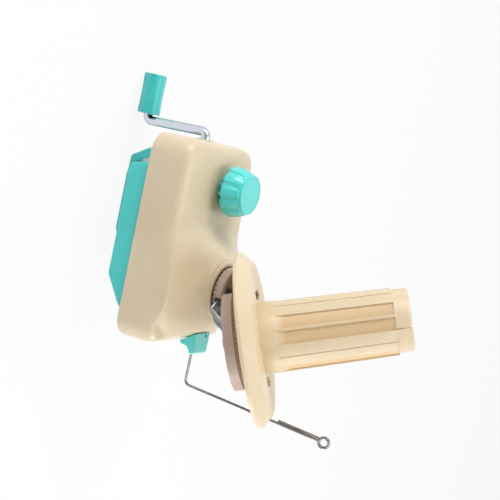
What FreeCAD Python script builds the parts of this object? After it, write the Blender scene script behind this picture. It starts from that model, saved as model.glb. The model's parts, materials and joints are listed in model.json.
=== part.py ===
import FreeCAD, Part
import math
import os

# Hand-cranked yarn ball winder with a table clamp, in millimetres.
# The origin is where the upright winding axis meets the underside of the bottom cover, which is
# the face that rests on the table. +Z is up, +X runs from the crank end to the guide end, and -Y is
# the long front wall.

V = FreeCAD.Vector
X_AXIS = V(1, 0, 0)
Y_AXIS = V(0, 1, 0)
Z_AXIS = V(0, 0, 1)

# Clearances
RUN = 0.05            # radial running clearance of a pin or shaft in its bore
SEAT = 0.03           # gap round a piece held fast in another piece
AIR = 0.3             # gap between pieces that move past each other

# Housing and bottom cover
HOUSING_LEFT = -87.0          # outer face of the crank end wall
HOUSING_RIGHT = 37.5          # outer face of the guide end wall
HOUSING_HALF_WIDTH = 42.0
HOUSING_CORNER = 13.0         # plan radius of the four upright corners
HOUSING_HEIGHT = 27.0         # from the parting plane to the flat top
HOUSING_WALL = 2.2
CEILING = 2.4                 # thickness of the flat top
TOP_EDGE_ROUND = 5.0
TOP_EDGE_STEPS = 4
COVER_DEPTH = 15.0            # from the table face to the parting plane
COVER_WALL = 2.0
COVER_HALF_WIDTH = 39.0
COVER_CORNER = 9.0
COVER_LEFT_TOP = -69.0        # left end of the tub at the parting plane
COVER_LEFT_FOOT = -65.0       # left end of the tub's flat underside
COVER_KNEE = 2.5              # where the flat underside turns up towards the guide end
COVER_RIGHT_TOP = 25.5        # where the sloping end meets the parting plane
COLLAR_RADIUS = 19.5
COLLAR_TOP = 59.0
COLLAR_HEIGHT = 3.0
COLLAR_BORE = 15.4
SHOULDER_START = 29.0         # height where the guide end wall starts to lean in
SHOULDER_LEAN = 4.2           # how far it has leaned in at the flat top's height
BOSS_RADIUS = 3.6
BOSS_INSET = (8.0, 7.5)       # from the crank end wall and from the guide end wall
BOSS_SIDE = 10.0              # from the long walls
CEILING_RIB = (60.0, 4.0)     # length and depth of the two ribs under the flat top
CEILING_RIB_PLACE = (-70.0, 22.0)
COLLAR_ROOM = 45.0            # height above which the hole under the collar is round
COVER_SCREW_RADIUS = 1.3
COVER_SCREW_HEAD = 2.7

# Crank
SHAFT_HEIGHT = 25.0           # crank shaft axis above the table face
ROD_RADIUS = 2.8
CRANK_ARM = 44.5              # from the shaft axis to the grip axis
CRANK_ARM_X = -92.2           # plane of the crank arm
CRANK_BEND = 3.7              # centre line radius of both bends
GRIP_LENGTH = 25.0
GRIP_RADIUS = 7.2
GRIP_FLUTES = 8
GRIP_FLUTE_DEPTH = 0.55
GRIP_START = 3.9              # from the arm's centre line to the near face of the grip

# Gear pair from the crank shaft to the upright turntable
WHEEL_TEETH = 33
PINION_TEETH = 11
DRIVE_MODULE = 1.2
DRIVE_FACE = 5.0
DRIVE_BACKLASH = 0.36

# Turntable in the collar
POST_RADIUS = 2.5
TABLE_HUB_RADIUS = 4.5
TABLE_FLOOR_TOP = 62.0
TABLE_FLOOR = 1.8
TABLE_RADIUS = 14.7
TABLE_WALL = 2.4
TABLE_RIM_TOP = 66.6
TABLE_NOTCHES = 32
TABLE_NOTCH_RADIUS = 0.7
TABLE_NOTCH_HEIGHT = 1.7
TABLE_GAP_HALF_ANGLE = 34.0   # half of the opening in the rim where the strap comes out

# Leaning spindle
AXES_CROSSING = 144.7         # height where the spindle axis crosses the winding axis
TILT = 29.7                   # angle between the spindle axis and the winding axis
CARRIER_AZIMUTH = -46.0       # side on which the foot of the spindle stands at rest
AXLE_RADIUS = 2.5
RIM_PLANE = 59.6              # flange rim, measured down the spindle axis from the crossing point
RIM_RADIUS = 51.1
PLATEAU_RADIUS = 44.4
PLATEAU_RISE = 8.8
FLANGE_WALL = 1.6
CONE_FOOT_RADIUS = 20.9
CONE_TOP_RADIUS = 19.4
CONE_LENGTH = 85.0
CONE_WALL = 2.8
CONE_PANELS = 4
CONE_PANEL_ANGLE = 48.0
CONE_PANEL_DEPTH = 1.6
CONE_RIB_WIDTH = 1.4
CONE_GROOVE_WIDTH = 0.9
CONE_GROOVE_DEPTH = 0.6
CONE_FOOT_BAND = 9.0          # plain band at the cone's foot
CONE_TOP_BAND = 9.0           # plain band at the cone's free end
CONE_SLIT = 1.0
PANEL_TURN = -11.0            # first panel's centre, seen from the front

# Gear pair from the fixed sun gear to the spool
SPOOL_TEETH = 70
SUN_TEETH = 20
SPOOL_GEAR_HEEL = 63.6        # heel of the spool gear's teeth, down the spindle axis
SPOOL_GEAR_FACE = 4.4
SUN_FOOT = 76.4               # lower face of the sun gear
SUN_TOP = 79.2
SPOOL_BACKLASH = 0.20
ROOT_MARGIN = 0.3             # root cone beyond both ends of the teeth
SKIRT_RADIUS = 28.1           # smooth skirt of the spool gear
SKIRT_FOOT = 71.4             # lower edge of the skirt, down the spindle axis

# Strap that carries the spindle
STRAP_THICKNESS = 1.4
STRAP_WIDTH = 8.0
STRAP_CORNER = 18.8           # where the lower leg turns up, from the winding axis
STRAP_RISE_ANGLE = 60.0       # slope of the middle leg
STRAP_BEND = 1.6              # inner radius of the bends
STRAP_TAIL = 6.0              # from the spindle axis to the end of the upper leg

# Table clamp
SCREW_X = -60.0
SCREW_Y = 5.8                 # the screw passes behind the crank shaft
KNOB_FOOT_RADIUS = 15.7
KNOB_TOP_RADIUS = 12.2
KNOB_FOOT = 48.0
KNOB_TOP = 61.1
KNOB_CAP = 2.6                # height of the smooth cap above the flutes
KNOB_FLUTES = 12
KNOB_FLUTE_DEPTH = 0.9
KNOB_RIBS = 4
SCREW_RADIUS = 2.4
SCREW_PITCH = 0.8
CLAMP_GAP = 21.5              # widest table edge that the clamp takes
CLAMP_TRAVEL = 18.0
JAW_THICKNESS = 5.0
JAW_LENGTH = 44.0             # from the screw axis to the free end of the jaw
ARM_THICKNESS = 5.7
ARM_HALF_WIDTH = 6.5
PRONG_GAP = 0.6               # between the prong and the crank shaft
PRONG_X = -76.0               # centre plane of the upright prong
PRONG_TOP = 21.0
HEEL_LEAN = 26.0              # lean of the heel below its bend

# Yarn guide
GUIDE_HEIGHT = 46.2           # axis of the guide wire's lower run
WIRE_RADIUS = 1.1
GUIDE_BEND_X = 62.1
GUIDE_RISE = 87.4
GUIDE_BACK = 27.0
GUIDE_OUT = 14.6
EYE_RADIUS = 3.1
GUIDE_BEND_RADIUS = 3.0
HOLDER_HALF_WIDTH = 9.0

COVER_PLATE = 2.0             # rim plate of the cover, inside the housing's lower edge
COVER_SCREW_LENGTH = 12.0
BUSH_RADIUS = 4.4
BUSH_FLANGE = 0.8
SHAFT_END = -5.2
BEARING_X = -19.6             # upright bearing on the cover's floor
BEARING_THICKNESS = 3.0
WHEEL_HUB = 7.0
WHEEL_HUB_END = 16.0          # from the pinion's axis to the back of the wheel hub
WHEEL_WEB = 2.6
WHEEL_WINDOWS = 5
WHEEL_PIN_X = -12.8
WHEEL_PIN_RADIUS = 0.9
GRIP_COUNTERBORE = 5.0
PEDESTAL_FACE = -3.0
PEDESTAL_TOP = 38.5
PEDESTAL_REACH = 9.5          # from the knee to the back of the pedestal
PEDESTAL_WIDTH = 8.0
BRACE_X = 3.0
BRACE_REACH = 15.0
BRACE_HEIGHT = 23.0
BEARING_HALF_WIDTH = 9.0
SCREW_TUBE_WALL = 2.5
COVER_RIBS = (-44.0, -32.0)
COVER_RIB_SIZE = (1.6, 5.0)
POST_FOOT = 18.0
CAP_SCREW_RADIUS = 1.2
SUN_HUB_FOOT = 70.0
SUN_HUB_RADIUS = 5.0
STRAP_SEAT = 71.0             # top face of the strap's upper leg, down the spindle axis
STRAP_NOSE = 5.6              # near end of the lower leg, from the winding axis
STRAP_SCREW_PLACE = 9.6
STRAP_SCREW_RADIUS = 1.5
AXLE_END = -20.0
HUB_FOOT = 65.6
HUB_TOP = 22.0
SLEEVE_RADIUS = 4.4
SPOOL_HUB_RADIUS = 6.5
SPOOL_WEB = 2.4
FLANGE_SEAT = RIM_PLANE - PLATEAU_RISE + FLANGE_WALL + SEAT
GEAR_SCREWS = 3
GEAR_SCREW_CIRCLE = 14.0
GEAR_SCREW_RADIUS = 1.2
WINDOW_RING = (22.5, 27.0)
WINDOW_HALF_ANGLE = 20.0
FACING = -47.9                # side of the spool that looks to the front
WINDOW_TURN = FACING + 90.0
KNOB_HUB_RADIUS = 4.5
KNOB_HUB_FOOT = 43.55
KNOB_SCREW_TOP = 57.5
SCREW_END = -27.5
WASHER_RADIUS = 7.2
HEEL_BEND = -5.5
HEEL_TOP = -4.0
NUT_RADIUS = 4.5
NUT_HEIGHT = 4.0
JAW_GROOVES = 6
HOLDER_TOP = 51.5
TONGUE_HALF_WIDTH = 4.5
TONGUE_FOOT = 43.4
TONGUE_HEIGHT = 5.6
TONGUE_START = 24.0
HOLDER_SCREW_RADIUS = 1.2
WIRE_START = 31.0
EYE_STRAND = 30.0

# Hump between the box and the collar: height, left end, right end, half width, plan corner
HUMP_SECTIONS = ((36.0, -50.0, 44.0, 49.0, 34.0), (42.0, -37.5, 35.6, 44.6, 29.0),
                 (43.5, -34.0, 34.0, 43.6, 28.0), (45.0, -31.4, 32.8, 42.4, 27.0),
                 (46.6, -29.3, 31.5, 40.2, 25.6), (48.2, -27.6, 30.2, 37.4, 24.4),
                 (50.0, -26.0, 28.9, 33.8, 23.0), (52.0, -24.4, 27.4, 29.8, 21.8),
                 (54.0, -22.7, 25.6, 26.2, 20.8), (56.0, -21.2, 23.0, 22.8, 20.0),
                 (58.0, -20.0, 20.4, 20.0, 19.2))

PARTING = COVER_DEPTH
FLAT_TOP = COVER_DEPTH + HOUSING_HEIGHT
SPOOL_TILT_TURN = -TILT


def save(shape, node):
    shape.exportStep("parts/" + node + ".step")
    print("%-20s solids %d valid %s volume %.1f" % (node, len(shape.Solids), shape.isValid(), shape.Volume))


def ring(outer, inner, low, high):
    tube = Part.makeCylinder(outer, high - low, V(0, 0, low))
    return tube.cut(Part.makeCylinder(inner, high - low, V(0, 0, low)))


def revolved(points):
    """Solid of revolution about Z from (radius, height) points."""
    corners = [V(r, 0, z) for r, z in points]
    face = Part.Face(Part.makePolygon(corners + [corners[0]]))
    return face.revolve(V(0, 0, 0), Z_AXIS, 360)


def rounded_rectangle(left, right, half_width, corner, height):
    """Wire of four lines and four arcs at one height, symmetric about Y = 0."""
    k = corner * math.sqrt(0.5)
    edges = []
    centres = [(right - corner, half_width - corner, 0), (left + corner, half_width - corner, 90),
               (left + corner, corner - half_width, 180), (right - corner, corner - half_width, 270)]
    ends = []
    for cx, cy, start in centres:
        a = math.radians(start)
        m = math.radians(start + 45)
        b = math.radians(start + 90)
        first = V(cx + corner * math.cos(a), cy + corner * math.sin(a), height)
        middle = V(cx + corner * math.cos(m), cy + corner * math.sin(m), height)
        last = V(cx + corner * math.cos(b), cy + corner * math.sin(b), height)
        ends.append((first, middle, last))
    for i, (first, middle, last) in enumerate(ends):
        edges.append(Part.Arc(first, middle, last).toShape())
        following = ends[(i + 1) % 4][0]
        if (following - last).Length > 1e-6:
            edges.append(Part.makeLine(last, following))
    return Part.Wire(edges)


def profile_prism(points, half_width):
    """Prism across the body from (x, z) points."""
    corners = [V(x, -half_width, z) for x, z in points]
    face = Part.Face(Part.makePolygon(corners + [corners[0]]))
    return face.extrude(V(0, 2 * half_width, 0))


def near(edges, test):
    return [e for e in edges if test(e.CenterOfMass, e)]


def to_carrier(shape):
    """Turns a shape drawn in the XZ plane to the side where the spindle stands at rest."""
    placed = shape.copy()
    placed.rotate(V(0, 0, 0), Z_AXIS, CARRIER_AZIMUTH)
    return placed


def to_spindle(shape):
    """Moves a shape drawn round Z, with the crossing point as origin, onto the spindle axis."""
    placed = shape.copy()
    placed.rotate(V(0, 0, 0), Y_AXIS, SPOOL_TILT_TURN)
    placed.translate(V(0, 0, AXES_CROSSING))
    return to_carrier(placed)


def bevel_teeth(count, pitch_angle, heel, toe, backlash, phase):
    """Teeth on a pitch cone with its apex at the origin, growing along +Z."""
    module = 2 * heel * math.sin(math.radians(pitch_angle)) / count
    half = math.pi * module / 4 - backlash / 2
    slope = math.tan(math.radians(20))
    tip = 0.8 * module
    root = 1.15 * module
    s = math.sin(math.radians(pitch_angle))
    c = math.cos(math.radians(pitch_angle))
    wires = []
    for distance in (heel, toe):
        k = distance / heel
        centre = V(s * distance, 0, c * distance)
        out = V(c, 0, -s)
        side = V(0, 1, 0)
        corners = []
        for up, wide in ((-root - 0.3, half + root * slope), (tip, half - tip * slope)):
            corners.append(centre + out * (up * k) - side * (wide * k))
            corners.append(centre + out * (up * k) + side * (wide * k))
        order = [corners[0], corners[1], corners[3], corners[2], corners[0]]
        wires.append(Part.makePolygon(order))
    tooth = Part.makeLoft(wires, True, True)
    teeth = []
    for i in range(count):
        copy = tooth.copy()
        copy.rotate(V(0, 0, 0), Z_AXIS, phase + 360.0 * i / count)
        teeth.append(copy)
    return teeth


def bevel_root(count, pitch_angle, heel, distance):
    """Radius and height of the root cone at one distance from the apex."""
    module = 2 * heel * math.sin(math.radians(pitch_angle)) / count
    root = 1.15 * module * distance / heel
    s = math.sin(math.radians(pitch_angle))
    c = math.cos(math.radians(pitch_angle))
    return s * distance - c * root, c * distance + s * root


def plan_prism(left, right, half_width, corner, low, high):
    """Prism over a rounded rectangle."""
    face = Part.Face(rounded_rectangle(left, right, half_width, corner, low))
    return face.extrude(V(0, 0, high - low))


def upright(x, y, radius, low, high):
    return Part.makeCylinder(radius, high - low, V(x, y, low))


def lying(x, radius, length, height, y=0.0):
    """Cylinder along +X."""
    return Part.makeCylinder(radius, length, V(x, y, height), X_AXIS)


def sector(points, start, sweep):
    """Part of a solid of revolution about Z, centred on no particular side."""
    corners = [V(r, 0, z) for r, z in points]
    face = Part.Face(Part.makePolygon(corners + [corners[0]]))
    face.rotate(V(0, 0, 0), Z_AXIS, start)
    return face.revolve(V(0, 0, 0), Z_AXIS, sweep)


def hump(inward, downward, stride):
    """Body that draws in from the box to the round collar. Drawn smaller it is the hollow in it."""
    wires = []
    for height, left, right, half_width, corner in HUMP_SECTIONS[::stride]:
        wires.append(rounded_rectangle(left + inward, right - inward, half_width - inward,
                                       corner - inward, height - downward))
    return Part.makeLoft(wires, True, True)


def end_wall_lean(height):
    """How far the guide end wall has leaned in at one height above its start."""
    rise = (height - SHOULDER_START) / (FLAT_TOP - SHOULDER_START)
    return SHOULDER_LEAN * rise * rise


def leaning_side(inward, low, high):
    """Side outline that cuts the guide end wall to its lean."""
    points = [(HOUSING_LEFT - 1, low), (HOUSING_RIGHT - inward, low)]
    for height in (SHOULDER_START, 33.0, 36.5, FLAT_TOP - 2.0, FLAT_TOP + 3.0):
        points.append((HOUSING_RIGHT - inward - end_wall_lean(height), height))
    points.append((HOUSING_RIGHT - inward - end_wall_lean(FLAT_TOP + 3.0), high))
    points.append((HOUSING_LEFT - 1, high))
    return points


def box_and_hump(inward, low, ceiling, edge_round, steps, stride):
    """Box with its rounded top edges, and the hump cut off by the box's own walls."""
    left = HOUSING_LEFT + inward
    right = HOUSING_RIGHT - inward
    half_width = HOUSING_HALF_WIDTH - inward
    corner = HOUSING_CORNER - inward
    rings = []
    for step in range(steps + 1):
        a = math.radians(90.0 * step / steps)
        inset = edge_round * (1 - math.cos(a))
        rings.append(rounded_rectangle(left + inset, right - inset, half_width - inset, corner - inset,
                                       ceiling - edge_round * (1 - math.sin(a))))
    crown = Part.makeLoft(rings, True, True)
    top = COLLAR_TOP + 1
    walls = plan_prism(left, right, half_width, corner, low, top)
    sides = plan_prism(left, right, half_width, corner, low, ceiling - edge_round)
    raised = hump(inward, FLAT_TOP - ceiling, stride).common(walls)
    body = sides.fuse(crown).fuse(raised)
    return body.common(profile_prism(leaning_side(inward, low, top), HOUSING_HALF_WIDTH + 1))


def housing_outer():
    body = box_and_hump(0.0, PARTING, FLAT_TOP, TOP_EDGE_ROUND, TOP_EDGE_STEPS, 1)
    collar = ring(COLLAR_RADIUS, COLLAR_BORE, COLLAR_TOP - COLLAR_HEIGHT, COLLAR_TOP)
    return body.fuse(collar)


def housing_hollow():
    w = HOUSING_WALL
    return box_and_hump(w, PARTING - 1, FLAT_TOP - CEILING, TOP_EDGE_ROUND - w, TOP_EDGE_STEPS // 2, 2)


def boss_places():
    side = HOUSING_HALF_WIDTH - BOSS_SIDE
    left = HOUSING_LEFT + BOSS_INSET[0]
    right = HOUSING_RIGHT - BOSS_INSET[1]
    return [(left, -side), (left, side), (right, -side), (right, side)]


def build_housing():
    outer = housing_outer()
    body = outer.cut(housing_hollow())
    body = body.cut(upright(0, 0, COLLAR_BORE, COLLAR_ROOM, COLLAR_TOP + 1))
    foot = PARTING + COVER_PLATE
    for x, y in boss_places():
        boss = upright(x, y, BOSS_RADIUS, foot, FLAT_TOP + 1).common(outer)
        body = body.fuse(boss)
        body = body.cut(upright(x, y, COVER_SCREW_RADIUS + SEAT, foot - 1, foot + COVER_SCREW_LENGTH))
    for y in (-1, 1):
        corner = V(CEILING_RIB_PLACE[0], y * CEILING_RIB_PLACE[1] - HOUSING_WALL / 2,
                   FLAT_TOP - 1.5 - CEILING_RIB[1])
        rib = Part.makeBox(CEILING_RIB[0], HOUSING_WALL, CEILING_RIB[1], corner)
        body = body.fuse(rib)
    body = body.cut(lying(HOUSING_LEFT - 1, BUSH_RADIUS + SEAT, HOUSING_WALL + 2, SHAFT_HEIGHT))
    body = body.cut(upright(SCREW_X, SCREW_Y, SCREW_RADIUS + RUN, FLAT_TOP - 5, FLAT_TOP + 1))
    half_slot = TONGUE_HALF_WIDTH + SEAT
    slot = Part.makeBox(HOUSING_RIGHT - TONGUE_START, 2 * half_slot, TONGUE_HEIGHT + 2 * SEAT,
                        V(TONGUE_START - 2.0, -half_slot, TONGUE_FOOT - SEAT))
    return body.cut(slot)


def tub_prism(inward, low, high):
    """Shape of the tub, or of the room in it, from the outline of its sloping ends."""
    lean = (COVER_LEFT_FOOT - COVER_LEFT_TOP) / COVER_DEPTH
    rise = (COVER_RIGHT_TOP - COVER_KNEE) / COVER_DEPTH
    side = inward * math.sqrt(1 + lean * lean)
    end = inward * math.sqrt(1 + rise * rise)
    points = [(COVER_LEFT_FOOT - lean * low + side, low), (COVER_KNEE + rise * low - end, low),
              (COVER_KNEE + rise * high - end, high), (COVER_LEFT_FOOT - lean * high + side, high)]
    half_width = COVER_HALF_WIDTH - inward
    reach = rise * (high - COVER_DEPTH)
    plan = plan_prism(COVER_LEFT_TOP - 1 + inward, COVER_RIGHT_TOP + max(reach, 0) - inward, half_width,
                      COVER_CORNER - inward, low, high)
    return plan.common(profile_prism(points, half_width + 1))


def cover_shell():
    rim = HOUSING_WALL + 0.2
    plate = plan_prism(HOUSING_LEFT + rim, HOUSING_RIGHT - rim, HOUSING_HALF_WIDTH - rim,
                       HOUSING_CORNER - rim, PARTING, PARTING + COVER_PLATE)
    tub = tub_prism(0.0, 0.0, PARTING)
    knee = near(tub.Edges, lambda c, e: c.z < 0.01)
    tub = tub.makeFillet(1.2, knee)
    return plate.fuse(tub).cut(tub_prism(COVER_WALL, COVER_WALL, PARTING + COVER_PLATE + 1))


def post_pedestal():
    """Upright that carries the post, with a triangular brace on either side."""
    depth = COVER_KNEE - PEDESTAL_FACE + PEDESTAL_REACH
    block = Part.makeBox(depth, PEDESTAL_WIDTH, PEDESTAL_TOP - COVER_WALL / 2,
                         V(PEDESTAL_FACE, -PEDESTAL_WIDTH / 2, COVER_WALL / 2))
    back = PEDESTAL_FACE + depth - 1
    block = block.makeFillet(2.0, near(block.Edges, lambda c, e: c.x > back and e.Length > PEDESTAL_TOP / 2))
    low = COVER_WALL / 2
    for side in (-1, 1):
        near_y = side * (PEDESTAL_WIDTH / 2 - 1)
        corners = [V(BRACE_X, near_y, low), V(BRACE_X, near_y + side * BRACE_REACH, low),
                   V(BRACE_X, near_y, low + BRACE_HEIGHT), V(BRACE_X, near_y, low)]
        block = block.fuse(Part.Face(Part.makePolygon(corners)).extrude(V(COVER_WALL, 0, 0)))
    return block.common(tub_prism(0.3, 0.3, PEDESTAL_TOP + 1))


def shaft_bearing():
    height = SHAFT_HEIGHT + BEARING_HALF_WIDTH - 2
    low = COVER_WALL / 2
    bearing = Part.makeBox(BEARING_THICKNESS, 2 * BEARING_HALF_WIDTH, height - low,
                           V(BEARING_X, -BEARING_HALF_WIDTH, low))
    top = near(bearing.Edges, lambda c, e: c.z > height - 0.1 and abs(c.y) > BEARING_HALF_WIDTH - 0.1)
    return bearing.makeFillet(BEARING_HALF_WIDTH - 2, top)


def build_cover():
    body = cover_shell()
    tube = upright(SCREW_X, SCREW_Y, SCREW_RADIUS + SCREW_TUBE_WALL, COVER_WALL / 2, PARTING - 1)
    body = body.fuse(tube.common(tub_prism(0.3, 0.3, PARTING)))
    body = body.cut(upright(SCREW_X, SCREW_Y, SCREW_RADIUS + RUN, -1, PARTING + 1))
    body = body.fuse(post_pedestal()).fuse(shaft_bearing())
    body = body.cut(upright(0, 0, POST_RADIUS + SEAT, POST_FOOT, PEDESTAL_TOP + 1))
    reach = COVER_HALF_WIDTH - COVER_WALL
    for x in COVER_RIBS:
        rib = Part.makeBox(COVER_RIB_SIZE[0], 2 * reach, COVER_RIB_SIZE[1], V(x, -reach, COVER_WALL / 2))
        body = body.fuse(rib.common(tub_prism(0.3, 0.3, PARTING)))
    body = body.cut(lying(BEARING_X - 1, ROD_RADIUS + RUN, BEARING_THICKNESS + 2, SHAFT_HEIGHT))
    slot = Part.makeBox(ARM_THICKNESS + 2 * AIR, prong_width() + 2 * AIR, COVER_PLATE + 6,
                        V(PRONG_X - ARM_THICKNESS / 2 - AIR, prong_front() - AIR, PARTING - 2))
    body = body.cut(slot)
    for x, y in boss_places():
        body = body.cut(upright(x, y, COVER_SCREW_RADIUS + SEAT, PARTING - 2, PARTING + COVER_PLATE + 2))
    return body


def build_cover_screws():
    screws = []
    for x, y in boss_places():
        shank = upright(x, y, COVER_SCREW_RADIUS, PARTING - 0.5, PARTING + COVER_SCREW_LENGTH)
        head = Part.makeCone(COVER_SCREW_HEAD * 0.75, COVER_SCREW_HEAD, 1.5, V(x, y, PARTING - 1.5 - SEAT))
        slot_a = Part.makeBox(3.0, 0.7, 0.9, V(x - 1.5, y - 0.35, PARTING - 1.6))
        slot_b = Part.makeBox(0.7, 3.0, 0.9, V(x - 0.35, y - 1.5, PARTING - 1.6))
        screws.append(head.fuse(shank).cut(slot_a).cut(slot_b))
    return Part.makeCompound(screws)


def rod_along(points, radius, bend):
    """Round rod through corner points, each inner corner rounded to one centre line radius."""
    edges = []
    here = points[0]
    for i in range(1, len(points) - 1):
        into = (points[i] - points[i - 1]).normalize()
        out = (points[i + 1] - points[i]).normalize()
        turn = into.getAngle(out)
        cut = bend * math.tan(turn / 2)
        start = points[i] - into * cut
        end = points[i] + out * cut
        inward = (out - into).normalize()
        middle = points[i] + inward * (bend / math.cos(turn / 2) - bend)
        edges.append(Part.makeLine(here, start))
        edges.append(Part.Arc(start, middle, end).toShape())
        here = end
    edges.append(Part.makeLine(here, points[-1]))
    path = Part.Wire(edges)
    first = (points[1] - points[0]).normalize()
    profile = Part.Wire([Part.makeCircle(radius, points[0], first)])
    return path.makePipeShell([profile], True, False)


def grip_height():
    return SHAFT_HEIGHT - CRANK_ARM


def grip_near():
    return CRANK_ARM_X - GRIP_START


def build_crank_rod():
    low = grip_height()
    points = [V(SHAFT_END, 0, SHAFT_HEIGHT), V(CRANK_ARM_X, 0, SHAFT_HEIGHT), V(CRANK_ARM_X, 0, low),
              V(grip_near() - GRIP_LENGTH + 1.8, 0, low)]
    rod = rod_along(points, ROD_RADIUS, CRANK_BEND)
    return rod.cut(upright(WHEEL_PIN_X, 0, WHEEL_PIN_RADIUS + SEAT, SHAFT_HEIGHT - 5, SHAFT_HEIGHT + 5))


def build_crank_bush():
    inside = HOUSING_LEFT + HOUSING_WALL + 1.2
    barrel = lying(HOUSING_LEFT - BUSH_FLANGE, BUSH_RADIUS, inside - HOUSING_LEFT + BUSH_FLANGE, SHAFT_HEIGHT)
    flange = lying(HOUSING_LEFT - BUSH_FLANGE, BUSH_RADIUS + 0.8, BUSH_FLANGE - 0.02, SHAFT_HEIGHT)
    bush = barrel.fuse(flange)
    return bush.cut(lying(HOUSING_LEFT - 5, ROD_RADIUS + RUN, 12, SHAFT_HEIGHT))


def build_shaft_clip():
    clip = lying(BEARING_X - AIR - 1.4, ROD_RADIUS + 2.0, 1.4, SHAFT_HEIGHT)
    clip = clip.cut(lying(BEARING_X - 5, ROD_RADIUS + SEAT, 10, SHAFT_HEIGHT))
    return clip.cut(Part.makeBox(4.0, 1.6, 6.0, V(BEARING_X - 3, -0.8, SHAFT_HEIGHT + 1)))


def build_grip():
    r = GRIP_RADIUS
    body = revolved([(0, 0), (r - 1.0, 0), (r, 1.0), (r, GRIP_LENGTH - 1.4), (r - 1.4, GRIP_LENGTH),
                     (0, GRIP_LENGTH)])
    groove = 2.2
    for i in range(GRIP_FLUTES):
        a = 2 * math.pi * (i + 0.5) / GRIP_FLUTES
        reach = r + groove - GRIP_FLUTE_DEPTH
        body = body.cut(upright(reach * math.cos(a), reach * math.sin(a), groove, -1, GRIP_LENGTH + 1))
    body = body.cut(upright(0, 0, ROD_RADIUS + RUN, -1, GRIP_LENGTH + 1))
    body = body.cut(upright(0, 0, GRIP_COUNTERBORE, -1, 2.0))
    body = body.cut(upright(0, 0, GRIP_COUNTERBORE, GRIP_LENGTH - 4.5, GRIP_LENGTH + 1))
    body.rotate(V(0, 0, 0), Y_AXIS, -90)
    body.translate(V(grip_near(), 0, grip_height()))
    return body


def build_grip_ring():
    start = grip_near() - GRIP_LENGTH + 2.6
    clip = lying(start, ROD_RADIUS + 1.4, 1.3, grip_height())
    return clip.cut(lying(start - 1, ROD_RADIUS + SEAT, 4, grip_height()))


def drive_pitch(teeth, mate):
    return math.degrees(math.atan(teeth / mate))


def drive_heel():
    angle = math.radians(drive_pitch(WHEEL_TEETH, PINION_TEETH))
    return WHEEL_TEETH * DRIVE_MODULE / 2 / math.sin(angle)


def build_drive_wheel():
    pitch = drive_pitch(WHEEL_TEETH, PINION_TEETH)
    heel = drive_heel()
    toe = heel - DRIVE_FACE
    heel_r, heel_z = bevel_root(WHEEL_TEETH, pitch, heel, heel + ROOT_MARGIN)
    toe_r, toe_z = bevel_root(WHEEL_TEETH, pitch, heel, toe - ROOT_MARGIN)
    bore = ROD_RADIUS + SEAT
    back = heel_z + 2.0
    blank = revolved([(bore, toe_z), (toe_r, toe_z), (heel_r, heel_z), (heel_r, back), (heel_r - 2.6, back),
                      (heel_r - 3.2, toe_z + WHEEL_WEB), (WHEEL_HUB + 0.6, toe_z + WHEEL_WEB),
                      (WHEEL_HUB, WHEEL_HUB_END), (bore, WHEEL_HUB_END)])
    for i in range(WHEEL_WINDOWS):
        a = 2 * math.pi * i / WHEEL_WINDOWS
        place = (WHEEL_HUB + toe_r) / 2
        blank = blank.cut(upright(place * math.cos(a), place * math.sin(a), 2.9, 0, 20))
    teeth = bevel_teeth(WHEEL_TEETH, pitch, heel, toe, DRIVE_BACKLASH, 180.0 / WHEEL_TEETH)
    wheel = blank.multiFuse(teeth)
    wheel.rotate(V(0, 0, 0), Y_AXIS, -90)
    wheel.translate(V(0, 0, SHAFT_HEIGHT))
    return wheel.cut(upright(WHEEL_PIN_X, 0, WHEEL_PIN_RADIUS + SEAT, SHAFT_HEIGHT - 12, SHAFT_HEIGHT + 12))


def build_wheel_pin():
    reach = WHEEL_HUB + 0.7
    return upright(WHEEL_PIN_X, 0, WHEEL_PIN_RADIUS, SHAFT_HEIGHT - reach, SHAFT_HEIGHT + reach)


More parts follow.
